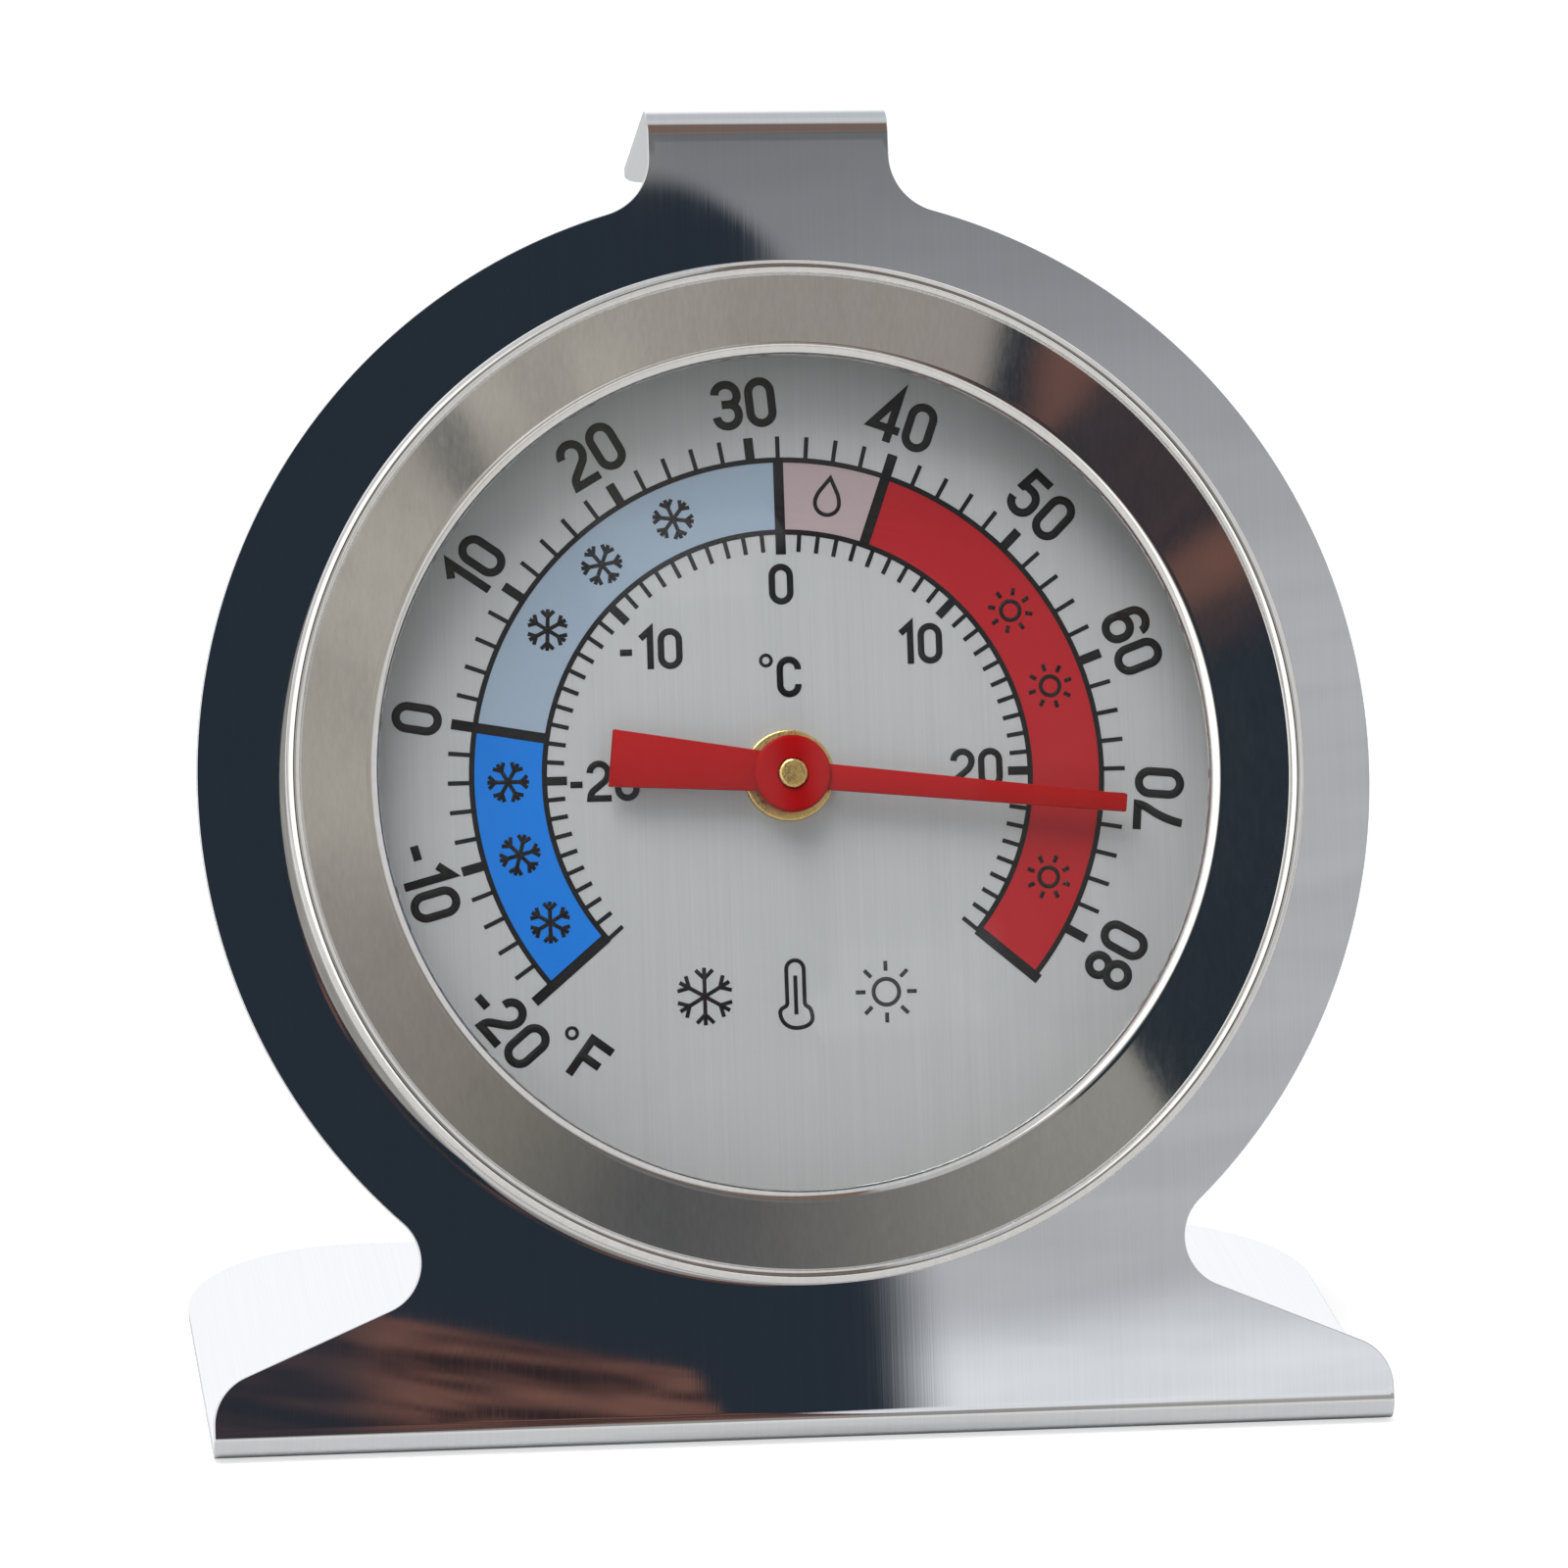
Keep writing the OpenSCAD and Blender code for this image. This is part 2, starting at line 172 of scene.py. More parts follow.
def makeGroup(name, inputs, outputs):
    group = bpy.data.node_groups.new(name, "ShaderNodeTree")
    for label, kind, value in inputs:
        socket = group.interface.new_socket(name=label, in_out="INPUT", socket_type=kind)
        if value is not None:
            socket.default_value = value
    for label, kind in outputs:
        group.interface.new_socket(name=label, in_out="OUTPUT", socket_type=kind)
    return group, group.nodes.new("NodeGroupInput"), group.nodes.new("NodeGroupOutput")


# Fine parallel scratches: two widths of noise drawn out along X, as a value about 0.5
def makeGrainGroup():
    group, source, result = makeGroup(
        "brushGrain",
        [
            ("Vector", "NodeSocketVector", None),
            ("Fine", "NodeSocketFloat", 9000.0),
            ("Coarse", "NodeSocketFloat", 1500.0),
            ("Stretch", "NodeSocketFloat", 0.012),
        ],
        [("Grain", "NodeSocketFloat")],
    )
    layers = []
    for label, detail, share in (("Fine", 3.0, 0.65), ("Coarse", 2.0, 0.35)):
        across = addNode(group, "ShaderNodeCombineXYZ")
        along = times(group, source.outputs[label], source.outputs["Stretch"])
        plug(group, source.outputs[label], across.inputs["X"])
        plug(group, along, across.inputs["Y"])
        plug(group, along, across.inputs["Z"])
        scaled = addNode(group, "ShaderNodeVectorMath", operation="MULTIPLY")
        plug(group, source.outputs["Vector"], scaled.inputs[0])
        plug(group, across.outputs[0], scaled.inputs[1])
        noise = addNode(group, "ShaderNodeTexNoise")
        noise.inputs["Scale"].default_value = 1.0
        noise.inputs["Detail"].default_value = detail
        plug(group, scaled.outputs[0], noise.inputs["Vector"])
        layers.append(times(group, noise.outputs["Fac"], share))
    plug(group, mathNode(group, "ADD", *layers), result.inputs["Grain"])
    return group


# Handling marks: faint cloudy patches, 0 where the surface is clean
def makeSmudgeGroup():
    group, source, result = makeGroup(
        "handlingMarks",
        [("Vector", "NodeSocketVector", None), ("Size", "NodeSocketFloat", 90.0)],
        [("Mask", "NodeSocketFloat")],
    )
    noise = addNode(group, "ShaderNodeTexNoise")
    noise.inputs["Detail"].default_value = 4.0
    noise.inputs["Distortion"].default_value = 0.6
    plug(group, source.outputs["Vector"], noise.inputs["Vector"])
    plug(group, source.outputs["Size"], noise.inputs["Scale"])
    plug(group, fadeIn(group, noise.outputs["Fac"], 0.45, 0.8), result.inputs["Mask"])
    return group


grainGroup = makeGrainGroup()
smudgeGroup = makeSmudgeGroup()


def newMaterial(name):
    material = bpy.data.materials.new(name)
    material.use_nodes = True
    tree = material.node_tree
    return material, tree, tree.nodes["Principled BSDF"]


# Object coordinates, turned so that Y runs up the leaning plate
def plateCoordinates(tree):
    coordinates = addNode(tree, "ShaderNodeTexCoord")
    mapping = addNode(tree, "ShaderNodeMapping")
    mapping.inputs["Rotation"].default_value = (lean - math.pi / 2, 0, 0)
    plug(tree, coordinates.outputs["Object"], mapping.inputs["Vector"])
    return mapping.outputs[0]


def placeGroup(tree, group, vector, **values):
    node = addNode(tree, "ShaderNodeGroup", node_tree=group)
    plug(tree, vector, node.inputs["Vector"])
    for label, value in values.items():
        node.inputs[label].default_value = value
    return node


def bumpNode(tree, shader, height, strength, distance):
    bump = addNode(tree, "ShaderNodeBump")
    bump.inputs["Strength"].default_value = strength
    bump.inputs["Distance"].default_value = distance
    plug(tree, height, bump.inputs["Height"])
    plug(tree, bump.outputs["Normal"], shader.inputs["Normal"])


metalSet = {"grainLow": 0.3, "grainHigh": 0.7, "depth": 0.00002}


def brushedMetal(name, s):
    material, tree, shader = newMaterial(name)
    vector = plateCoordinates(tree)
    grain = placeGroup(
        tree, grainGroup, vector, Fine=s["fine"], Coarse=s["coarse"], Stretch=s["stretch"]
    )
    grain = grain.outputs["Grain"]
    marks = placeGroup(tree, smudgeGroup, vector, Size=s["markSize"])
    low, high = metalSet["grainLow"], metalSet["grainHigh"]
    shade = rangeNode(tree, grain, low, high, 0.0, 1.0, smooth=False)
    plug(tree, mixColours(tree, shade, s["dark"], s["light"]), shader.inputs["Base Color"])
    least, most = s["roughness"] - s["roughSpread"], s["roughness"] + s["roughSpread"]
    rough = rangeNode(tree, grain, low, high, least, most, smooth=False)
    marked = times(tree, marks.outputs["Mask"], s["markRoughness"])
    plug(tree, mathNode(tree, "ADD", rough, marked), shader.inputs["Roughness"])
    shader.inputs["Metallic"].default_value = s.get("metallic", 1.0)
    bumpNode(tree, shader, grain, s["bump"], metalSet["depth"])
    return material


standSteelSet = {
    "fine": 14000.0, "coarse": 5000.0, "stretch": 0.006, "markSize": 70.0,
    "dark": (0.635, 0.645, 0.665, 1), "light": (0.67, 0.68, 0.7, 1),
    "roughness": 0.016, "roughSpread": 0.006, "markRoughness": 0.012, "bump": 0.004,
}
bezelSteelSet = {
    "fine": 5000.0, "coarse": 900.0, "stretch": 0.3, "markSize": 110.0,
    "dark": (0.66, 0.65, 0.63, 1), "light": (0.74, 0.73, 0.71, 1),
    "roughness": 0.04, "roughSpread": 0.01, "markRoughness": 0.03, "bump": 0.012,
}
caseSteelSet = {
    "fine": 5000.0, "coarse": 1200.0, "stretch": 0.25, "markSize": 80.0,
    "dark": (0.55, 0.55, 0.56, 1), "light": (0.66, 0.66, 0.67, 1),
    "roughness": 0.2, "roughSpread": 0.04, "markRoughness": 0.08, "bump": 0.06,
}
dialAluminiumSet = {
    "fine": 16000.0, "coarse": 6000.0, "stretch": 0.006, "markSize": 60.0,
    "dark": (0.392, 0.4, 0.41, 1), "light": (0.444, 0.453, 0.463, 1),
    "roughness": 0.5, "roughSpread": 0.05, "markRoughness": 0.03, "bump": 0.05,
    "metallic": 0.35,
}
brassSet = {
    "fine": 9000.0, "coarse": 1500.0, "stretch": 0.5, "markSize": 300.0,
    "dark": (0.55, 0.37, 0.13, 1), "light": (0.72, 0.52, 0.22, 1),
    "roughness": 0.28, "roughSpread": 0.06, "markRoughness": 0.1, "bump": 0.1,
}
movementSteelSet = {
    "fine": 7000.0, "coarse": 1500.0, "stretch": 0.02, "markSize": 150.0,
    "dark": (0.38, 0.38, 0.39, 1), "light": (0.5, 0.5, 0.51, 1),
    "roughness": 0.35, "roughSpread": 0.06, "markRoughness": 0.1, "bump": 0.1,
}
rivetSteelSet = dict(
    caseSteelSet, dark=(0.5, 0.5, 0.5, 1), light=(0.62, 0.62, 0.62, 1), roughness=0.3
)
bimetalSet = dict(movementSteelSet, dark=(0.36, 0.27, 0.22, 1), light=(0.5, 0.4, 0.34, 1))

standSteel = brushedMetal("standSteel", standSteelSet)
bezelSteel = brushedMetal("bezelSteel", bezelSteelSet)
caseSteel = brushedMetal("caseSteel", caseSteelSet)
dialAluminium = brushedMetal("dialAluminium", dialAluminiumSet)
brass = brushedMetal("brass", brassSet)
movementSteel = brushedMetal("movementSteel", movementSteelSet)
rivetSteel = brushedMetal("rivetSteel", rivetSteelSet)
bimetal = brushedMetal("bimetal", bimetalSet)


paintSet = {"shade": 0.6, "detail": 3.0, "markRoughness": 0.1, "depth": 0.00001}


def paint(name, s):
    material, tree, shader = newMaterial(name)
    vector = plateCoordinates(tree)
    marks = placeGroup(tree, smudgeGroup, vector, Size=s["markSize"])
    fine = addNode(tree, "ShaderNodeTexNoise")
    fine.inputs["Scale"].default_value = s["grain"]
    fine.inputs["Detail"].default_value = paintSet["detail"]
    plug(tree, vector, fine.inputs["Vector"])
    shade = times(tree, fine.outputs["Fac"], s["variation"])
    darker = (*(value * paintSet["shade"] for value in s["colour"][:3]), 1)
    plug(tree, mixColours(tree, shade, s["colour"], darker), shader.inputs["Base Color"])
    rough = times(tree, marks.outputs["Mask"], paintSet["markRoughness"])
    plug(tree, mathNode(tree, "ADD", rough, s["roughness"]), shader.inputs["Roughness"])
    shader.inputs["Specular IOR Level"].default_value = s["gloss"]
    bumpNode(tree, shader, fine.outputs["Fac"], s["bump"], paintSet["depth"])
    return material


def ink(name, colour):
    return paint(name, {
        "colour": colour, "markSize": 200.0, "grain": 12000.0, "variation": 0.25,
        "roughness": 0.6, "gloss": 0.2, "bump": 0.1,
    })


blackInk = ink("blackInk", srgb(10, 10, 13))
deepBlueInk = ink("deepBlueInk", srgb(19, 111, 201))
paleBlueInk = ink("paleBlueInk", srgb(142, 158, 175))
pinkInk = ink("pinkInk", srgb(165, 149, 152))
redInk = ink("redInk", srgb(158, 28, 35))
pointerRed = paint("pointerRed", {
    "colour": srgb(150, 5, 7), "markSize": 150.0, "grain": 5000.0, "variation": 0.12,
    "roughness": 0.5, "gloss": 0.08, "bump": 0.15,
})
gasketRubber = paint("gasketRubber", {
    "colour": srgb(36, 36, 38), "markSize": 150.0, "grain": 4000.0, "variation": 0.4,
    "roughness": 0.75, "gloss": 0.3, "bump": 0.3,
})
spacerPlastic = paint("spacerPlastic", {
    "colour": srgb(214, 214, 210), "markSize": 150.0, "grain": 3000.0, "variation": 0.1,
    "roughness": 0.55, "gloss": 0.4, "bump": 0.2,
})


# Clear to shadow and diffuse rays, so that the dial behind it is lit
def clearGlass(name, s):
    material, tree, shader = newMaterial(name)
    shader.inputs["Base Color"].default_value = s["tint"]
    shader.inputs["Transmission Weight"].default_value = 1.0
    shader.inputs["IOR"].default_value = s["index"]
    marks = placeGroup(tree, smudgeGroup, plateCoordinates(tree), Size=s["markSize"])
    rough = times(tree, marks.outputs["Mask"], s["markRoughness"])
    plug(tree, rough, shader.inputs["Roughness"])
    rays = addNode(tree, "ShaderNodeLightPath").outputs
    clear = addNode(tree, "ShaderNodeBsdfTransparent")
    mix = addNode(tree, "ShaderNodeMixShader")
    unseen = mathNode(tree, "MAXIMUM", rays["Is Shadow Ray"], rays["Is Diffuse Ray"])
    plug(tree, unseen, mix.inputs["Fac"])
    plug(tree, shader.outputs[0], mix.inputs[1])
    plug(tree, clear.outputs[0], mix.inputs[2])
    plug(tree, mix.outputs[0], tree.nodes["Material Output"].inputs["Surface"])
    return material


lensGlass = clearGlass("lensGlass", {
    "tint": (0.985, 0.995, 0.99, 1), "index": 1.42, "markSize": 60.0, "markRoughness": 0.02,
})
print("materials made")


def meshFrom(name, bm):
    mesh = bpy.data.meshes.new(name)
    bm.to_mesh(mesh)
    bm.free()
    return mesh


def finishPiece(name, bm, material, body, replaces=()):
    bmesh.ops.transform(bm, matrix=dialPlace, verts=bm.verts)
    mesh = meshFrom(name, bm)
    mesh.materials.append(material)
    mesh.shade_smooth()
    mesh.set_sharp_from_angle(angle=sharpAngle)
    piece = addObject(name, mesh)
    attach(piece, body)
    if replaces:
        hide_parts(*replaces)
    return piece


def onlyVerts(geometry):
    return [item for item in geometry if isinstance(item, bmesh.types.BMVert)]


def onlyEdges(geometry):
    return [item for item in geometry if isinstance(item, bmesh.types.BMEdge)]


def cleanMesh(bm):
    bmesh.ops.remove_doubles(bm, verts=bm.verts, dist=mergeDistance)
    bmesh.ops.recalc_face_normals(bm, faces=bm.faces)


def lineTo(bm, vert, x, y, z=0.0):
    new = bmesh.ops.extrude_vert_indiv(bm, verts=[vert])["verts"][0]
    new.co = (x, y, z)
    return new


def arcRound(bm, vert, centre, degrees, steps, axis=(0, 0, 1)):
    spun = bmesh.ops.spin(
        bm, geom=[vert], cent=centre, axis=axis, angle=math.radians(degrees), steps=steps
    )
    return onlyVerts(spun["geom_last"])[0]


# Joins points given as (vertex, rounding) by lines, and rounds their corners
def roundedLine(bm, points, closed, segments):
    verts = [vert for vert, _ in points]
    for first, second in zip(verts, verts[1:]):
        bm.edges.new((first, second))
    if closed:
        bm.edges.new((verts[-1], verts[0]))
    for vert, rounding in points:
        if rounding:
            bmesh.ops.bevel(
                bm, geom=[vert], affect="VERTICES", offset=rounding, segments=segments,
                profile=0.5, material=-1,
            )


def spinRound(bm, steps):
    bmesh.ops.spin(
        bm, geom=bm.verts[:] + bm.edges[:], cent=(0, 0, 0), axis=(0, 0, 1),
        angle=math.tau, steps=steps, use_merge=True,
    )
    cleanMesh(bm)


# A profile of (radius, height, rounding) corners, spun round the Z axis
def turnedMesh(corners, steps=192, closed=True):
    bm = bmesh.new()
    points = [(bm.verts.new((radius, 0, height)), rounding) for radius, height, rounding in corners]
    roundedLine(bm, points, closed, segments=5)
    spinRound(bm, steps)
    return bm


standSet = {
    "sheet": 0.5, "discRadius": 30.0, "holeRadius": 24.5, "halfWidth": 30.0,
    "footBend": 1.0, "footDepth": 31.3, "footCorner": 9.7,
    "wingHeight": 2.04, "wingSlope": 22.7, "wingRadius": 2.6,
    "halfTab": 6.2, "tabFillet": 3.0, "hookHeight": 66.7, "hookBend": 1.5,
    "droop": 9.3, "tongue": 9.9, "tongueCorner": 1.2,
    "border": 0.4, "edge": 0.06, "edgeAngle": 50,
}


# The plate before it is bent, from the foot's bend up to the hook's
def flatPlate(s, foot, top):
    slope = math.radians(s["wingSlope"])
    # Centres of the wing's corner, the notch and the tab's fillet, from the dial's centre
    wingUp = Vector((math.sin(slope), math.cos(slope)))
    wingIn = Vector((-math.cos(slope), math.sin(slope)))
    wingAt = Vector((s["halfWidth"] - s["wingRadius"], s["wingHeight"] - dialHeight))
    notchFoot = wingUp * wingUp.dot(wingAt + 2 * s["wingRadius"] * wingUp)
    reach = s["discRadius"] + s["wingRadius"]
    notchAt = notchFoot + wingIn * -math.sqrt(reach**2 - notchFoot.length_squared)
    filletX = s["halfTab"] + s["tabFillet"]
    filletReach = s["discRadius"] + s["tabFillet"]
    filletAt = Vector((filletX, math.sqrt(filletReach**2 - filletX**2)))
    notchTurn = math.degrees(math.atan2(-notchAt.y, -notchAt.x))
    filletTurn = math.degrees(math.atan2(filletAt.y, filletAt.x))

    bm = bmesh.new()
    vert = bm.verts.new((0, foot, 0))
    vert = lineTo(bm, vert, s["halfWidth"], foot)
    vert = lineTo(bm, vert, s["halfWidth"], wingAt.y)
    vert = arcRound(bm, vert, (*wingAt, 0), 90 - s["wingSlope"], 14)
    vert = lineTo(bm, vert, *(notchAt - s["wingRadius"] * wingUp))
    vert = arcRound(bm, vert, (*notchAt, 0), notchTurn - (270 - s["wingSlope"]), 24)
    vert = arcRound(bm, vert, (0, 0, 0), filletTurn - (notchTurn - 180), 90)
    vert = arcRound(bm, vert, (*filletAt, 0), -filletTurn, 16)
    vert = lineTo(bm, vert, s["halfTab"], top)
    lineTo(bm, vert, 0, top)
    bmesh.ops.mirror(bm, geom=bm.verts[:] + bm.edges[:], axis="X", merge_dist=mergeDistance)
    bmesh.ops.remove_doubles(bm, verts=bm.verts, dist=mergeDistance)
    bmesh.ops.create_circle(bm, radius=s["holeRadius"], segments=160)
    bmesh.ops.triangle_fill(bm, edges=bm.edges[:], use_beauty=True, normal=(0, 0, 1))
    # An even border keeps small faces away from the outline, so it shades flat
    bmesh.ops.inset_region(
        bm, faces=bm.faces[:], thickness=s["border"], use_boundary=True, use_even_offset=True
    )
    return bm


# Bends the plate's edge at one height, and runs the sheet on straight from there
def bendAndRun(bm, height, radius, degrees, steps, run, corner):
    edges = [
        edge for edge in bm.edges
        if all(abs(v.co.y - height) < samePlace and abs(v.co.z) < samePlace for v in edge.verts)
    ]
    geometry = list(dict.fromkeys(vert for edge in edges for vert in edge.verts)) + edges
    spun = bmesh.ops.spin(
        bm, geom=geometry, cent=(0, height, -radius), axis=(1, 0, 0),
        angle=math.radians(degrees), steps=steps,
    )
    pushed = bmesh.ops.extrude_edge_only(bm, edges=onlyEdges(spun["geom_last"]))["geom"]
    moved = onlyVerts(pushed)
    bmesh.ops.translate(bm, verts=moved, vec=run)
    far = max(vert.co.x for vert in moved)
    corners = [vert for vert in moved if abs(abs(vert.co.x) - far) < samePlace]
    bmesh.ops.bevel(
        bm, geom=corners, affect="VERTICES", offset=corner, segments=16, profile=0.5, material=-1
    )


def makeStand(s):
    bendStart = s["footBend"] / math.tan((math.pi / 2 - lean) / 2)
    foot = bendStart - dialHeight
    top = s["hookHeight"] - dialHeight
    bm = flatPlate(s, foot, top)
    footRun = s["footDepth"] - bendStart
    bendAndRun(
        bm, foot, s["footBend"], 90 + math.degrees(lean), 20,
        (0, footRun * math.sin(lean), -footRun * math.cos(lean)), s["footCorner"],
    )
    droop = math.radians(s["droop"])
    bendAndRun(
        bm, top, s["hookBend"], -(90 + s["droop"]), 24,
        (0, -s["tongue"] * math.sin(droop), -s["tongue"] * math.cos(droop)), s["tongueCorner"],
    )
    bmesh.ops.recalc_face_normals(bm, faces=bm.faces)
    plateFaces = [f for f in bm.faces if all(abs(v.co.z) < samePlace for v in f.verts)]
    if sum(face.normal.z * face.calc_area() for face in plateFaces) < 0:
        bmesh.ops.reverse_faces(bm, faces=bm.faces)
    piece = finishPiece(
        "stand", bm, standSteel, "housing", replaces=["stand_plate"]
    )
    thick = piece.modifiers.new("sheet", "SOLIDIFY")
    thick.thickness = s["sheet"] * millimetre
    thick.offset = -1
    thick.use_even_offset = True
    edge = piece.modifiers.new("edge", "BEVEL")
    edge.width = s["edge"] * millimetre
    edge.segments = 2
    edge.limit_method = "ANGLE"
    edge.angle_limit = math.radians(s["edgeAngle"])
    edge.harden_normals = True


makeStand(standSet)
print("stand made")

lensSet = {"radius": 25.2, "back": 1.6, "front": 2.8, "edge": 0.05}
bezelSet = {
    "radius": 25.8, "height": 4.15, "bead": 0.4, "lip": 21.04, "roll": 21.65, "drop": 0.4,
    "shell": 0.4, "guard": 0.12,
}


# Rolls the profile a quarter round the foot of the bezel's roll, flattened to its height
def quarterRoll(bm, vert, centre, width, height, degrees):
    older = set(bm.verts) - {vert}
    here = Matrix.Translation(-centre)
    bmesh.ops.scale(bm, verts=[vert], vec=(1, 1, width / height), space=here)
    end = arcRound(bm, vert, centre, degrees, 12, axis=(0, 1, 0))
    spun = [v for v in bm.verts if v not in older]
    bmesh.ops.scale(bm, verts=spun, vec=(1, 1, height / width), space=here)
    return end


def makeBezel(s):
    bead, shell = s["bead"], s["shell"]
    crease = s["height"] - bead
    rollTop = crease - s["drop"]
    rollFoot = Vector((s["roll"], 0, lensSet["front"]))
    width, height = s["roll"] - s["lip"], rollTop - lensSet["front"]
    bm = bmesh.new()
    first = bm.verts.new((s["radius"], 0, 0))
    vert = lineTo(bm, first, s["radius"], 0, crease)
    vert = arcRound(bm, vert, (s["radius"] - bead, 0, crease), -180, 14, axis=(0, 1, 0))
    # A ring just outside the roll keeps the band's shading flat
    fall = s["drop"] * s["guard"] / (s["radius"] - 2 * bead - s["roll"])
    vert = lineTo(bm, vert, s["roll"] + s["guard"], 0, rollTop + fall)
    vert = lineTo(bm, vert, s["roll"], 0, rollTop)
    vert = quarterRoll(bm, vert, rollFoot, width, height, -90)
    vert = lineTo(bm, vert, s["lip"] + shell, 0, lensSet["front"])
    vert = quarterRoll(bm, vert, rollFoot, width - shell, height - shell, 90)
    vert = lineTo(bm, vert, s["radius"] - 2 * bead, 0, crease - shell)
    vert = lineTo(bm, vert, s["radius"] - shell, 0, crease - shell)
    vert = lineTo(bm, vert, s["radius"] - shell, 0, 0)
    bm.edges.new((vert, first))
    spinRound(bm, 256)
    finishPiece("bezelRing", bm, bezelSteel, "housing", replaces=["bezel"])


caseSet = {
    "flange": 25.4, "wall": 24.3, "lock": 24.95, "cup": 22.3, "shell": 0.4, "seat": -1.15,
    "back": -8.5, "step": 0.5, "stepRadius": 16.0, "corner": 1.0, "sheet": 0.5,
    "lockHeight": 0.3, "lockEnd": 0.8,
}


def makeCase(s):
    shell, sheet, wall, lock, cup = s["shell"], s["sheet"], s["wall"], s["lock"], s["cup"]
    ring = s["back"] + s["step"]
    floor = s["back"] + shell
    dishRadius = s["stepRadius"] - s["step"]
    bm = turnedMesh([
        # Flange, locking bead, cup and stepped back, down the outside
        (s["flange"], shell, 0), (s["flange"], 0, 0), (wall, 0, 0), (wall, -sheet, 0),
        (lock, -sheet, 0.08), (lock, -sheet - s["lockHeight"], 0.1),
        (wall, -sheet - s["lockEnd"], 0.15), (wall, s["seat"] - shell, 0.12),
        (cup, s["seat"] - shell, 0.15),
        (cup, ring, s["corner"]), (s["stepRadius"], ring, 0.3), (dishRadius, s["back"], 0.3),
        (0, s["back"], 0),
        # The same shell, back up the inside
        (0, floor, 0), (dishRadius - shell / 2, floor, 0.1),
        (s["stepRadius"] - shell / 2, ring + shell, 0.1),
        (cup - shell, ring + shell, s["corner"] - shell),
        (cup - shell, s["seat"], 0), (wall - shell, s["seat"], 0), (wall - shell, shell, 0),
    ])
    finishPiece("caseShell", bm, caseSteel, "housing", replaces=["rear_case"])


def makeLens(s):
    bm = turnedMesh([
        (0, s["back"], 0), (s["radius"], s["back"], s["edge"]),
        (s["radius"], s["front"], s["edge"]), (0, s["front"], 0),
    ], closed=False)
    finishPiece("lensGlass", bm, lensGlass, "housing", replaces=["lens"])


makeBezel(bezelSet)
makeCase(caseSet)
makeLens(lensSet)
print("case, bezel and lens made")

dialSet = {
    "radius": 23.75, "hole": 1.3, "front": -0.75, "thickness": 0.4, "edge": 0.05,
    "zoneEnds": (-20, 0, 32, 40, 84.2),  # in F, each with its bar from radius to radius
    "zoneBars": ((12.3, 17.2), (12.3, 17.2), (11.2, 16.0), (12.3, 17.2), (12.3, 16.3)),
    "zoneBarWidth": 0.52, "outer": 16.0, "inner": 12.34, "lineWidth": 0.27,
    "tickEnd": 17.2, "majorWidth": 0.48, "minorWidth": 0.22,
    "majorStartC": 11.2, "minorStartC": 11.35, "majorWidthC": 0.44,
    "bandHeight": 0.008, "lineHeight": 0.016,
    "zeroF": 32, "turnPerF": 2.5, "turnPerC": 4.5,
    "ticksF": (-20, 81, 2), "ticksC": (-29, 30), "majorEvery": 10,
}


def angleOfF(degreesF):
    return (degreesF - dialSet["zeroF"]) * dialSet["turnPerF"]


def angleOfC(degreesC):
    return degreesC * dialSet["turnPerC"]


# A flat sector between two radii, from one clock angle to another
def addSector(bm, inner, outer, start, end):
    low = bm.verts.new((0, inner, 0))
    high = bm.verts.new((0, outer, 0))
    edge = bm.edges.new((low, high))
    turn = Matrix.Rotation(math.radians(-start), 3, "Z")
    bmesh.ops.rotate(bm, verts=[low, high], cent=(0, 0, 0), matrix=turn)
    bmesh.ops.spin(
        bm, geom=[low, high, edge], cent=(0, 0, 0), axis=(0, 0, 1),
        angle=math.radians(start - end), steps=max(1, round(abs(end - start) / 2)),
    )


# A flat bar along a radius
def addBar(bm, inner, outer, width, angle):
    place = (
        Matrix.Rotation(math.radians(-angle), 4, "Z")
        @ Matrix.Translation((0, (inner + outer) / 2, 0))
        @ Matrix.Diagonal((width / 2, (outer - inner) / 2, 1, 1))
    )
    bmesh.ops.create_grid(bm, x_segments=1, y_segments=1, size=1, matrix=place)


# Lifts what was just extruded to a print's height, with its foot on the dial
def raiseOffDial(bm, extruded, height):
    bmesh.ops.translate(bm, verts=onlyVerts(extruded["geom"]), vec=(0, 0, height))
    bmesh.ops.translate(bm, verts=bm.verts[:], vec=(0, 0, dialSet["front"]))
    bmesh.ops.recalc_face_normals(bm, faces=bm.faces)


def finishPrint(name, bm, material, height):
    for face in bm.faces:
        face.normal_update()
        if face.normal.z < 0:
            face.normal_flip()
    raiseOffDial(bm, bmesh.ops.extrude_face_region(bm, geom=bm.faces[:]), height)
    finishPiece(name, bm, material, "housing")


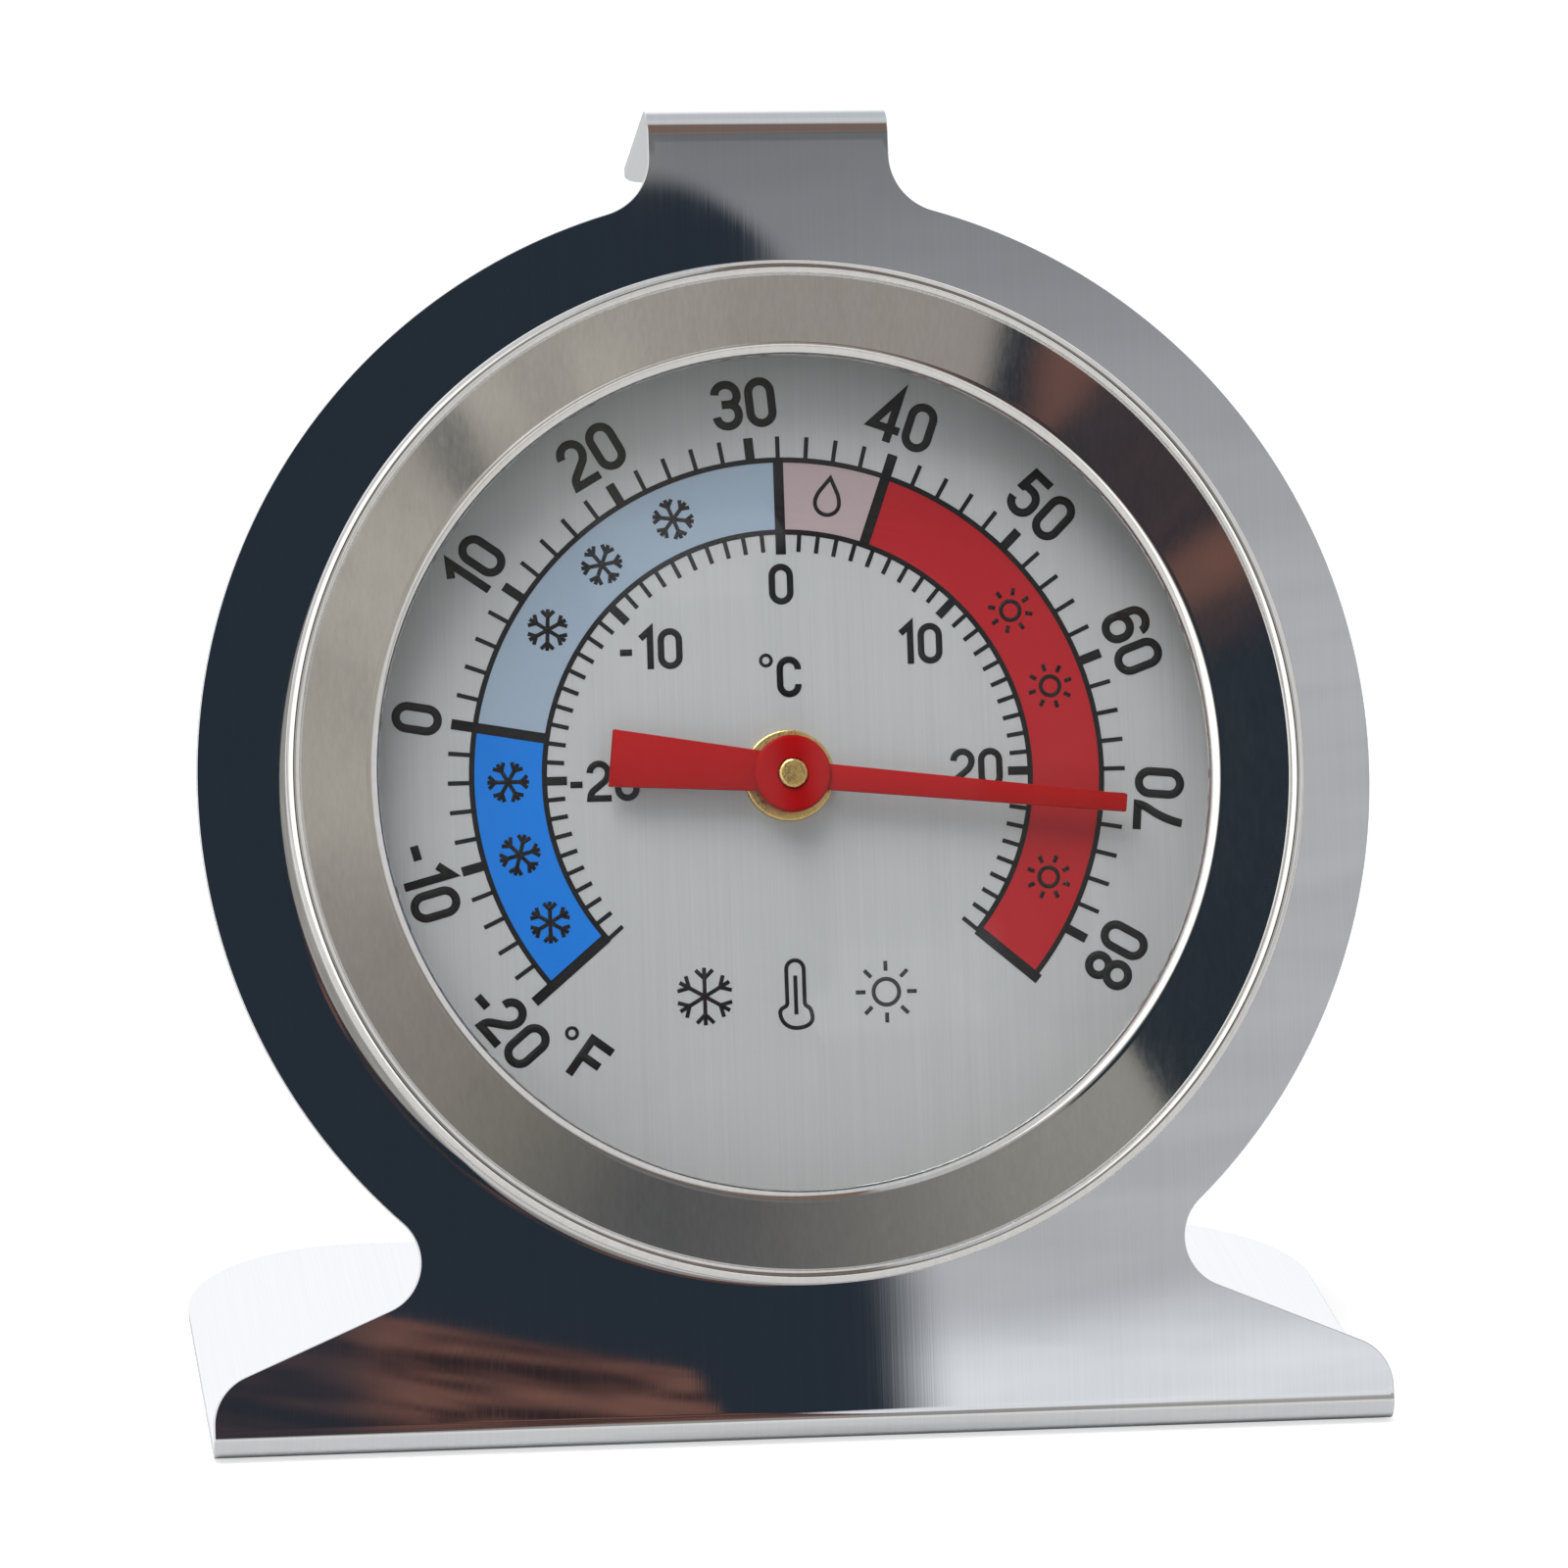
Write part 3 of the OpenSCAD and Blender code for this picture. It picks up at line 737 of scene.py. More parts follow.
def makeDial(s):
    back = s["front"] - s["thickness"]
    bm = turnedMesh([
        (s["hole"], s["front"], 0), (s["radius"], s["front"], s["edge"]), (s["radius"], back, 0),
        (s["hole"], back, 0),
    ])
    finishPiece("dialFace", bm, dialAluminium, "housing", replaces=["dial_plate"])

    zones = (
        ("bandDeepBlue", deepBlueInk), ("bandPaleBlue", paleBlueInk), ("bandPink", pinkInk),
        ("bandRed", redInk),
    )
    ends = [angleOfF(degrees) for degrees in s["zoneEnds"]]
    for (name, material), start, end in zip(zones, ends, ends[1:]):
        bm = bmesh.new()
        addSector(bm, s["inner"], s["outer"], start, end)
        finishPrint(name, bm, material, s["bandHeight"])

    bm = bmesh.new()
    half = s["lineWidth"] / 2
    for radius in (s["inner"], s["outer"]):
        addSector(bm, radius - half, radius + half, ends[0], ends[-1])
    for degrees in range(*s["ticksF"]):
        width = s["minorWidth"] if degrees % s["majorEvery"] else s["majorWidth"]
        addBar(bm, s["outer"], s["tickEnd"], width, angleOfF(degrees))
    for degrees in range(*s["ticksC"]):
        major = degrees % s["majorEvery"] == 0
        start = s["majorStartC"] if major else s["minorStartC"]
        width = s["majorWidthC"] if major else s["minorWidth"]
        addBar(bm, start, s["inner"], width, angleOfC(degrees))
    for (inner, outer), angle in zip(s["zoneBars"], ends):
        addBar(bm, inner, outer, s["zoneBarWidth"], angle)
    finishPrint("scaleLines", bm, blackInk, s["lineHeight"])


makeDial(dialSet)
print("dial made")

# Each sign is a centreline one unit high, raised as a wall and then thickened
numeralSet = {
    "numbersF": (-20, 81, 10), "upright": (0, 60),  # past these the numbers read from inside
    "heightF": 2.5, "middleF": 18.95, "strokeF": 0.42,
    "heightC": 2.05, "strokeC": 0.33, "gap": 0.09, "height": 0.016,
    "unitF": (2.3, 17.55, 216.8),  # height, radius and clock angle
    "numbersC": (
        ("0", -0.05, 9.7), ("-10", -6.75, 6.55), ("10", 6.9, 6.55), ("-20", -9.3, -0.05),
        ("20", 9.6, 0.15), ("C", 0.2, 5.0),
    ),
    "ringRadius": 0.27, "ringStroke": 0.17, "ringC": (-0.95, 5.85), "ringF": (17.0, 221.9),
}


# Strokes of one sign as (x, y, rounding) corners, and its width; k is half a stroke
def signStrokes(sign, k=0.075):
    w, m = 0.6, 0.52
    a, b, c, d = k, w - k, k, 1 - k  # left, right, bottom and top of the centreline
    r = (b - a) / 2

    def loop(low, high, inset=0.0):
        left, right, rounding = a + inset, b - inset, r - inset
        corners = ((left, low), (right, low), (right, high), (left, high))
        return [(x, y, rounding) for x, y in corners] + ["closed"]

    strokes = {
        "0": [loop(c, d)],
        "1": [[(0.1, 0.76, 0), (0.34, 0.97, 0), (0.34, 0, 0)]],
        "2": [[
            (a, 0.7, 0), (a, d, r), (b, d, r), (b, 0.56, 0.14), (a + 0.02, 0.22, 0.08),
            (a, c, 0), (w, c, 0),
        ]],
        "3": [
            [(a, 0.73, 0), (a, d, r), (b, d, r), (b, m, 0.16), (0.2, m, 0)],
            [(0.21, m, 0), (b, m, 0.2), (b, c, r), (a, c, r), (a, 0.28, 0)],
        ],
        "4": [[(0.42, 0, 0), (0.42, 0.96, 0), (0.03, 0.28, 0), (w + 0.02, 0.28, 0)]],
        "5": [
            [(b, d, 0), (a + 0.04, d, 0), (a, 0.48, 0)],
            [(a, 0.47, 0), (a, 0.6, 0.12), (b, 0.6, r), (b, c, r), (a, c, r), (a, 0.27, 0)],
        ],
        "6": [loop(c, 0.58), [(a, 0.36, 0), (a, d, r), (b, d, r), (b, 0.75, 0)]],
        "7": [[(0.02, d, 0), (b + 0.01, d, 0), (b, 0.82, 0.1), (0.24, 0.32, 0.3), (0.2, 0, 0)]],
        "8": [loop(c, m), loop(m, d, 0.02)],
        "-": [[(0.0, 0.42, 0), (0.3, 0.42, 0)]],
        "C": [[(b, 0.68, 0), (b, d, r), (a, d, r), (a, c, r), (b, c, r), (b, 0.32, 0)]],
        "F": [[(a, 0, 0), (a, d, 0), (w, d, 0)], [(a, 0.5, 0), (w - 0.06, 0.5, 0)]],
    }
    widths = {"1": 0.44, "-": 0.32, "F": 0.56}
    return strokes[sign], widths.get(sign, w)


# Draws a sign's strokes and puts them in their place
def addStrokes(bm, strokes, place):
    older = set(bm.verts)
    for stroke in strokes:
        drawn = set(bm.verts)
        closed = stroke[-1] == "closed"
        corners = stroke[:-1] if closed else stroke
        points = [(bm.verts.new((x, y, 0)), rounding) for x, y, rounding in corners]
        roundedLine(bm, points, closed, segments=7)
        new = [vert for vert in bm.verts if vert not in drawn]
        bmesh.ops.remove_doubles(bm, verts=new, dist=0.004)
    new = [vert for vert in bm.verts if vert not in older]
    bmesh.ops.transform(bm, verts=new, matrix=place)


def addText(bm, text, height, place):
    signs = [signStrokes(sign) for sign in text]
    total = sum(width for _, width in signs) + numeralSet["gap"] * (len(text) - 1)
    x = -total / 2
    for strokes, width in signs:
        addStrokes(bm, strokes, place @ Matrix.Scale(height, 4) @ Matrix.Translation((x, -0.5, 0)))
        x += width + numeralSet["gap"]


# Raises the centrelines as walls off the dial and gives them a stroke's width
def finishStrokes(name, bm, stroke, height):
    raiseOffDial(bm, bmesh.ops.extrude_edge_only(bm, edges=bm.edges[:]), height)
    piece = finishPiece(name, bm, blackInk, "housing")
    thick = piece.modifiers.new("stroke", "SOLIDIFY")
    thick.thickness = stroke * millimetre
    thick.offset = 0
    thick.use_even_offset = True


def around(radius, angle, inward=False):
    turn = Matrix.Rotation(math.radians(-angle), 4, "Z") @ Matrix.Translation((0, radius, 0))
    return turn @ Matrix.Rotation(math.pi if inward else 0, 4, "Z")


def makeNumerals(s):
    bm = bmesh.new()
    for degrees in range(*s["numbersF"]):
        inward = not s["upright"][0] <= degrees <= s["upright"][1]
        addText(bm, str(degrees), s["heightF"], around(s["middleF"], angleOfF(degrees), inward))
    height, radius, angle = s["unitF"]
    addText(bm, "F", height, around(radius, angle, True))
    finishStrokes("numeralsF", bm, s["strokeF"], s["height"])
    bm = bmesh.new()
    for text, x, y in s["numbersC"]:
        addText(bm, text, s["heightC"], Matrix.Translation((x, y, 0)))
    finishStrokes("numeralsC", bm, s["strokeC"], s["height"])
    bm = bmesh.new()
    for place in (Matrix.Translation((*s["ringC"], 0)), around(*s["ringF"], True)):
        bmesh.ops.create_circle(bm, segments=28, radius=s["ringRadius"], matrix=place)
    finishStrokes("degreeRings", bm, s["ringStroke"], s["height"])


# Plain weather signs: frost stars for cold, a drop for cool, a sun for warm
signSet = {
    "stroke": 0.2, "height": 0.016,
    "starRadius": 1.05, "starsAt": (-16, -10, -4, 9, 16, 23),
    "dropRadius": 1.1, "dropAt": 36,
    "sunRadius": 1.15, "sunsAt": (54, 61, 77),
    "rowHeight": -11.0, "rowPlaces": (-4.6, 0, 4.6), "rowRadii": (1.45, 1.7, 1.55),
}


def turned(points, degrees):
    spin = Matrix.Rotation(math.radians(degrees), 2)
    return [(*(spin @ Vector(point)), 0) for point in points]


def frostStar():
    strokes = []
    for degrees in range(0, 360, 60):
        strokes.append(turned([(-0.3, 0.92), (0, 0.62), (0.3, 0.92)], degrees))
        if degrees < 180:
            strokes.append(turned([(0, -1), (0, 1)], degrees))
    return strokes


def waterDrop():
    right = [(0.56, 0.1, 0.3), (0.56, -0.72, 0.56)]
    left = [(-x, y, rounding) for x, y, rounding in reversed(right)]
    return [[(0, 1, 0), *right, *left, "closed"]]


def sun():
    side = 0.42
    corners = ((side, side), (-side, side), (-side, -side), (side, -side))
    strokes = [[(x, y, side) for x, y in corners] + ["closed"]]
    for degrees in range(0, 360, 45):
        strokes.append(turned([(0, 0.68), (0, 1.0)], degrees))
    return strokes


# A glass thermometer: bulb and tube in outline, and its column
def glassTube():
    tube = [(-0.26, -0.35, 0.1), (-0.26, 1, 0.26), (0.26, 1, 0.26), (0.26, -0.35, 0.1)]
    bulb = [(0.48, -0.42, 0.3), (0.48, -1, 0.46), (-0.48, -1, 0.46), (-0.48, -0.42, 0.3)]
    return [[*tube, *bulb, "closed"], [(0, -0.6, 0), (0, 0.55, 0)]]


def makeSigns(s):
    middle = (dialSet["inner"] + dialSet["outer"]) / 2
    signs = [(frostStar(), s["starRadius"], degrees) for degrees in s["starsAt"]]
    signs.append((waterDrop(), s["dropRadius"], s["dropAt"]))
    signs += [(sun(), s["sunRadius"], degrees) for degrees in s["sunsAt"]]
    bm = bmesh.new()
    for strokes, radius, degrees in signs:
        addStrokes(bm, strokes, around(middle, angleOfF(degrees)) @ Matrix.Scale(radius, 4))
    row = (frostStar(), glassTube(), sun())
    for strokes, x, radius in zip(row, s["rowPlaces"], s["rowRadii"]):
        place = Matrix.Translation((x, s["rowHeight"], 0))
        addStrokes(bm, strokes, place @ Matrix.Scale(radius, 4))
    finishStrokes("zoneSigns", bm, s["stroke"], s["height"])


makeSigns(signSet)
makeNumerals(numeralSet)
print("signs and numerals made")

pointerSet = {
    "reading": 70.5, "base": 0.35, "sheet": 0.4, "hub": 1.95, "hubTop": 1.0, "bore": 0.75,
    "root": 1.0, "neck": 1.36, "tip": 0.9, "tipLength": 17.15,
    "tailNeck": 1.85, "tail": 2.9, "tailLength": 9.2, "edge": 0.06,
}


def makePointer(s):
    bm = bmesh.new()
    for near, far, length, root in (
        (s["neck"], s["tip"], s["tipLength"], s["root"]),
        (s["tailNeck"], s["tail"], -s["tailLength"], -s["root"]),
    ):
        grown = near + (far - near) * root / length
        corners = [(-grown / 2, root), (grown / 2, root), (far / 2, length), (-far / 2, length)]
        face = bm.faces.new([bm.verts.new((x, y, s["base"])) for x, y in corners])
        if face.normal.z < 0:
            face.normal_flip()
        raised = bmesh.ops.extrude_face_region(bm, geom=[face])["geom"]
        bmesh.ops.translate(bm, verts=onlyVerts(raised), vec=(0, 0, s["sheet"]))
    bmesh.ops.recalc_face_normals(bm, faces=bm.faces)
    bmesh.ops.bevel(
        bm, geom=bm.edges[:], affect="EDGES", offset=s["edge"], segments=2, profile=0.5, material=-1
    )
    turn = Matrix.Rotation(math.radians(-angleOfF(s["reading"])), 3, "Z")
    bmesh.ops.rotate(bm, verts=bm.verts, cent=(0, 0, 0), matrix=turn)
    finishPiece("pointerBlade", bm, pointerRed, "needle", replaces=["pointer"])
    bm = turnedMesh([
        (s["bore"], s["base"], 0), (s["hub"], s["base"], 0.08), (s["hub"], s["hubTop"], 0.18),
        (s["bore"] + 0.02, s["hubTop"], 0.05),
    ], steps=96)
    finishPiece("pointerHub", bm, pointerRed, "needle")


arborSet = {
    "radius": 0.75, "rear": -7.3, "front": 1.2, "crown": 0.16, "edge": 0.05,
    "collar": 1.5, "collarRear": -0.25, "collarFront": 0.35,
}
bushSet = {
    "bore": 0.8, "neck": 1.3, "rear": -1.55, "rearFlange": 1.8,
    "front": -0.35, "frontFlange": 2.3, "edge": 0.1, "boreEdge": 0.08,
}


def makeArbor(s):
    bm = turnedMesh([
        (0, s["rear"], 0), (s["radius"], s["rear"], s["edge"]),
        (s["radius"], s["front"], s["crown"]), (0, s["front"], 0),
    ], steps=64, closed=False)
    finishPiece("arborPin", bm, brass, "needle", replaces=["arbor"])
    bm = turnedMesh([
        (s["radius"], s["collarRear"], 0), (s["collar"], s["collarRear"], s["edge"]),
        (s["collar"], s["collarFront"], s["edge"]), (s["radius"], s["collarFront"], 0),
    ], steps=96)
    finishPiece("pointerCollar", bm, brass, "needle", replaces=["pointer_boss"])


# The bush's two flanges hold the dial between them
def makeBush(s):
    dialFront = dialSet["front"]
    dialBack = dialFront - dialSet["thickness"]
    bm = turnedMesh([
        (s["bore"], s["rear"], 0), (s["rearFlange"], s["rear"], s["edge"]),
        (s["rearFlange"], dialBack, 0), (s["neck"], dialBack, 0), (s["neck"], dialFront, 0),
        (s["frontFlange"], dialFront, 0), (s["frontFlange"], s["front"], s["edge"]),
        (s["bore"], s["front"], s["boreEdge"]),
    ], steps=96)
    finishPiece("dialBush", bm, brass, "housing", replaces=["front_bush"])


rivetSet = {
    "offset": 10.3, "head": 1.5, "headBack": -9.0, "headEdge": 0.32, "shank": 0.8,
    "tail": 1.3, "tailBack": -7.6, "tailFront": -7.1, "tailEdge": 0.2,
    "postHeight": 13, "postHead": 0.93, "postBack": -8.93, "postEdge": 0.22,
}


def makeRivets(s):
    back = caseSet["back"]
    bm = bmesh.new()
    for side in (-1, 1):
        rivet = turnedMesh([
            (0, s["headBack"], 0), (s["head"], s["headBack"], s["headEdge"]), (s["head"], back, 0),
            (s["shank"], back, 0), (s["shank"], s["tailBack"], 0), (s["tail"], s["tailBack"], 0),
            (s["tail"], s["tailFront"], s["tailEdge"]), (0, s["tailFront"], 0),
        ], steps=64, closed=False)
        bmesh.ops.translate(rivet, verts=rivet.verts[:], vec=(side * s["offset"], 0, 0))
        held = meshFrom("held", rivet)
        bm.from_mesh(held)
        bpy.data.meshes.remove(held)
    finishPiece(
        "backRivets", bm, rivetSteel, "housing", replaces=["bridge_rivets"]
    )
    bm = turnedMesh([
        (0, s["postBack"], 0), (s["postHead"], s["postBack"], s["postEdge"]),
        (s["postHead"], back, 0), (0, back, 0),
    ], steps=64, closed=False)
    bmesh.ops.translate(bm, verts=bm.verts[:], vec=(0, s["postHeight"], 0))
    finishPiece("postHead", bm, brass, "housing")


makePointer(pointerSet)
makeArbor(arborSet)
makeBush(bushSet)
makeRivets(rivetSet)
print("pointer and fittings made")

innerMaterials = {
    "lens_gasket": gasketRubber, "spacer_ring": spacerPlastic, "bridge": movementSteel,
    "rear_bush": brass, "coil_post": brass, "coil_rivet": rivetSteel, "bimetal_coil": bimetal,
    "coil_collet": brass, "collet_pin": movementSteel, "thrust_washers": brass,
}
for nodeName, material in innerMaterials.items():
    slots = frame["nodes"][nodeName].material_slots
    for index in range(len(slots)):
        slots[index].material = material
print("inner parts finished")

floorSet = {
    "halfSize": 3, "below": 0.0001, "grain": 40.0, "roughness": 0.8, "glow": 0.62,
    "dark": (0.55, 0.55, 0.55, 1), "light": (0.57, 0.57, 0.57, 1),
}


def makeFloor(s):
    material, tree, shader = newMaterial("paperFloor")
    coordinates = addNode(tree, "ShaderNodeTexCoord")
    noise = addNode(tree, "ShaderNodeTexNoise")
    noise.inputs["Scale"].default_value = s["grain"]
    plug(tree, coordinates.outputs["Object"], noise.inputs["Vector"])
    shade = fadeIn(tree, noise.outputs["Fac"], 0.3, 0.7)
    plug(tree, mixColours(tree, shade, s["dark"], s["light"]), shader.inputs["Base Color"])
    shader.inputs["Roughness"].default_value = s["roughness"]
    # The sheet glows for the camera alone, as evenly lit paper does
    rays = addNode(tree, "ShaderNodeLightPath").outputs
    glow = times(tree, rays["Is Camera Ray"], s["glow"])
    shader.inputs["Emission Color"].default_value = (1, 1, 1, 1)
    plug(tree, glow, shader.inputs["Emission Strength"])
    bm = bmesh.new()
    bmesh.ops.create_grid(bm, x_segments=2, y_segments=2, size=s["halfSize"])
    mesh = meshFrom("floor", bm)
    mesh.materials.append(material)
    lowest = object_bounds()[0].z
    floor = addObject("floor", mesh)
    floor.location.z = lowest - s["below"]
    floor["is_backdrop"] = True


keyLightSet = {"place": (-0.23, -0.2, 0.85), "aim": (0, 0, 0.03), "size": 0.6, "power": 9.0}


def makeLight(name, s):
    data = bpy.data.lights.new(name, "AREA")
    data.shape = "DISK"
    data.size = s["size"]
    data.energy = s["power"]
    light = addObject(name, data)
    light.location = s["place"]
    aim = Vector(s["aim"]) - Vector(s["place"])
    light.rotation_euler = aim.to_track_quat("-Z", "Y").to_euler()
    light.visible_glossy = False
    light.visible_camera = False


def band(tree, value, low, high, soft):
    into = fadeIn(tree, value, low - soft, low + soft)
    return times(tree, into, fadeOut(tree, value, high - soft, high + soft))


def patch(tree, turn, rise, turns, rises, turnSoft, riseSoft):
    return times(tree, band(tree, turn, *turns, turnSoft), band(tree, rise, *rises, riseSoft))


# Noise drawn out along the horizon, or along a slope with a tilt
def streaks(tree, turn, rise, turnScale, riseScale, scale, tilt=0.0):
    spot = addNode(tree, "ShaderNodeCombineXYZ")
    level = mathNode(tree, "ADD", rise, times(tree, turn, tilt))
    plug(tree, times(tree, turn, turnScale), spot.inputs["X"])
    plug(tree, times(tree, level, riseScale), spot.inputs["Y"])
    noise = addNode(tree, "ShaderNodeTexNoise")
    noise.inputs["Scale"].default_value = scale
    noise.inputs["Detail"].default_value = 3.0
    noise.inputs["Distortion"].default_value = 0.5
    plug(tree, spot.outputs[0], noise.inputs["Vector"])
    return noise.outputs["Fac"]


# What the steel mirrors, by compass turn and rise in degrees: turn 0 is straight out of the
# front and grows to the right. A patch is its turns, its rises and how soft both are.
roomSet = {
    "base": (0.53, 0.505, 0.462, 1), "haze": (0.3, 0.285, 0.26, 1),
    "hazeScales": (0.35, 0.35, 1.0), "hazeSpread": (0.38, 0.62, 0.0, 0.45),
    "highLeft": (0.36, 0.355, 0.33, 1), "highMiddle": (0.115, 0.118, 0.125, 1),
    "highRight": (0.21, 0.2, 0.18, 1), "highRise": (22, 34),
    "middleTurn": (0.5, 14.0), "rightTurn": (14.0, 17.5),
    "low": (0.38, 0.355, 0.335, 1), "lowPatch": ((-3, 10.5), (-8, 18), 2.0, 2.0),
    "table": (0.95, 0.93, 0.9, 1), "tableRise": (10.5, 13.5),
    "above": (0.6, 0.61, 0.63, 1), "aboveRise": (36, 40),
    "shelf": (0.24, 0.17, 0.135, 1), "shelfPatch": ((7, 25), (37, 74), 2.0, 3.0),
    "overhead": (0.7, 0.72, 0.76, 1), "overheadRise": (70, 82),
    "side": (0.8, 0.8, 0.81, 1), "sideTurn": (28, 45),
    "window": (1.5, 1.5, 1.5, 1), "windowPatch": ((-80, -12), (-5, 60), 2.0, 5.0),
    "behind": (1.33, 1.33, 1.34, 1), "behindTurn": (125, 150), "behindRise": (22, 55),
}


def paintRoom(tree, turn, rise, s):
    haze = rangeNode(tree, streaks(tree, turn, rise, *s["hazeScales"]), *s["hazeSpread"])
    high = mixColours(tree, fadeIn(tree, turn, *s["middleTurn"]), s["highLeft"], s["highMiddle"])
    high = mixColours(tree, fadeIn(tree, turn, *s["rightTurn"]), high, s["highRight"])
    sweep = mixColours(tree, fadeIn(tree, rise, *s["behindRise"]), s["behind"], s["overhead"])
    aside = mathNode(tree, "ABSOLUTE", turn)
    colour = mixColours(tree, haze, s["base"], s["haze"])
    for mask, tint in (
        (fadeIn(tree, rise, *s["highRise"]), high),
        (patch(tree, turn, rise, *s["lowPatch"]), s["low"]),
        (fadeOut(tree, rise, *s["tableRise"]), s["table"]),
        (fadeIn(tree, rise, *s["aboveRise"]), s["above"]),
        (patch(tree, turn, rise, *s["shelfPatch"]), s["shelf"]),
        (fadeIn(tree, rise, *s["overheadRise"]), s["overhead"]),
        (fadeIn(tree, aside, *s["sideTurn"]), s["side"]),
        (patch(tree, turn, rise, *s["windowPatch"]), s["window"]),
        (fadeIn(tree, aside, *s["behindTurn"]), sweep),
    ):
        colour = mixColours(tree, mask, colour, tint)
    return colour


wallSet = {
    "high": (0.195, 0.198, 0.21, 1), "highRise": (25.5, 30.4),
    "middle": (0.635, 0.64, 0.655, 1), "low": (1.08, 1.1, 1.12, 1), "lowRise": (19.8, 20.7),
    "cloudScales": (0.35, 2.2, 1.3), "cloudSpread": (0.35, 0.65, 0.0, 0.12),
    "patch": ((8.0, 14.0), (17.9, 33), 0.4, 0.35),
}


# A light wall right of the dark shape: darkest high up, brightest over the table
def paintWall(tree, turn, rise, colour, s):
    upper = rangeNode(tree, rise, *s["highRise"], 0.0, 1.0, smooth=False)
    wall = mixColours(tree, upper, s["middle"], s["high"])
    wall = mixColours(tree, fadeOut(tree, rise, *s["lowRise"]), wall, s["low"])
    cloud = rangeNode(tree, streaks(tree, turn, rise, *s["cloudScales"]), *s["cloudSpread"])
    wall = mixColours(tree, cloud, wall, s["high"])
    return mixColours(tree, patch(tree, turn, rise, *s["patch"]), colour, wall)


darkShapeSet = {
    "colour": (0.027, 0.038, 0.052, 1), "turns": (-3.5, 60), "turnSoft": 0.5,
    "topTurn": (3.0, 5.5), "topRise": (31.7, 29.42), "topSoft": (-0.12, 0.12),
    "roundTurn": 7.9, "roundDrop": -0.5,
    "edgeTurn": 10.0, "edgeLean": -0.035, "edgeSoft": (-0.45, 0.3),
    "hemSlope": 0.55, "hem": (13.8, 14.5),
}


# A plain dark shape in front: rounded at the top, with a leaning edge and a slanted hem
def paintDarkShape(tree, turn, rise, colour, s):
    over = mathNode(tree, "MAXIMUM", mathNode(tree, "SUBTRACT", turn, s["roundTurn"]), 0.0)
    top = times(tree, mathNode(tree, "POWER", over, 2.0), s["roundDrop"])
    top = mathNode(tree, "ADD", top, rangeNode(tree, turn, *s["topTurn"], *s["topRise"]))
    below = fadeIn(tree, mathNode(tree, "SUBTRACT", top, rise), *s["topSoft"])
    edge = mathNode(tree, "MULTIPLY_ADD", rise, s["edgeLean"], s["edgeTurn"])
    inside = fadeIn(tree, mathNode(tree, "SUBTRACT", edge, turn), *s["edgeSoft"])
    hem = mathNode(tree, "SUBTRACT", rise, times(tree, turn, s["hemSlope"]))
    width = band(tree, turn, *s["turns"], s["turnSoft"])
    shape = times(tree, below, inside, width, fadeIn(tree, hem, *s["hem"]))
    return mixColours(tree, shape, colour, s["colour"])


timberSet = {
    "dark": (0.03, 0.022, 0.026, 1), "light": (0.24, 0.115, 0.09, 1),
    "grainScales": (0.3, 4.6, 1.7, 0.2), "grainSpread": (0.4, 0.58),
    "patch": ((-3.5, 60), (17.5, 60), 0.5, 0.3), "fadeTurn": (4.4, 5.3), "fadeShare": 0.25,
    "topRise": 21.955, "topSlope": -0.233, "topSoft": (-0.03, 0.03),
    "endSlope": 0.56, "end": (18.75, 18.9),
}


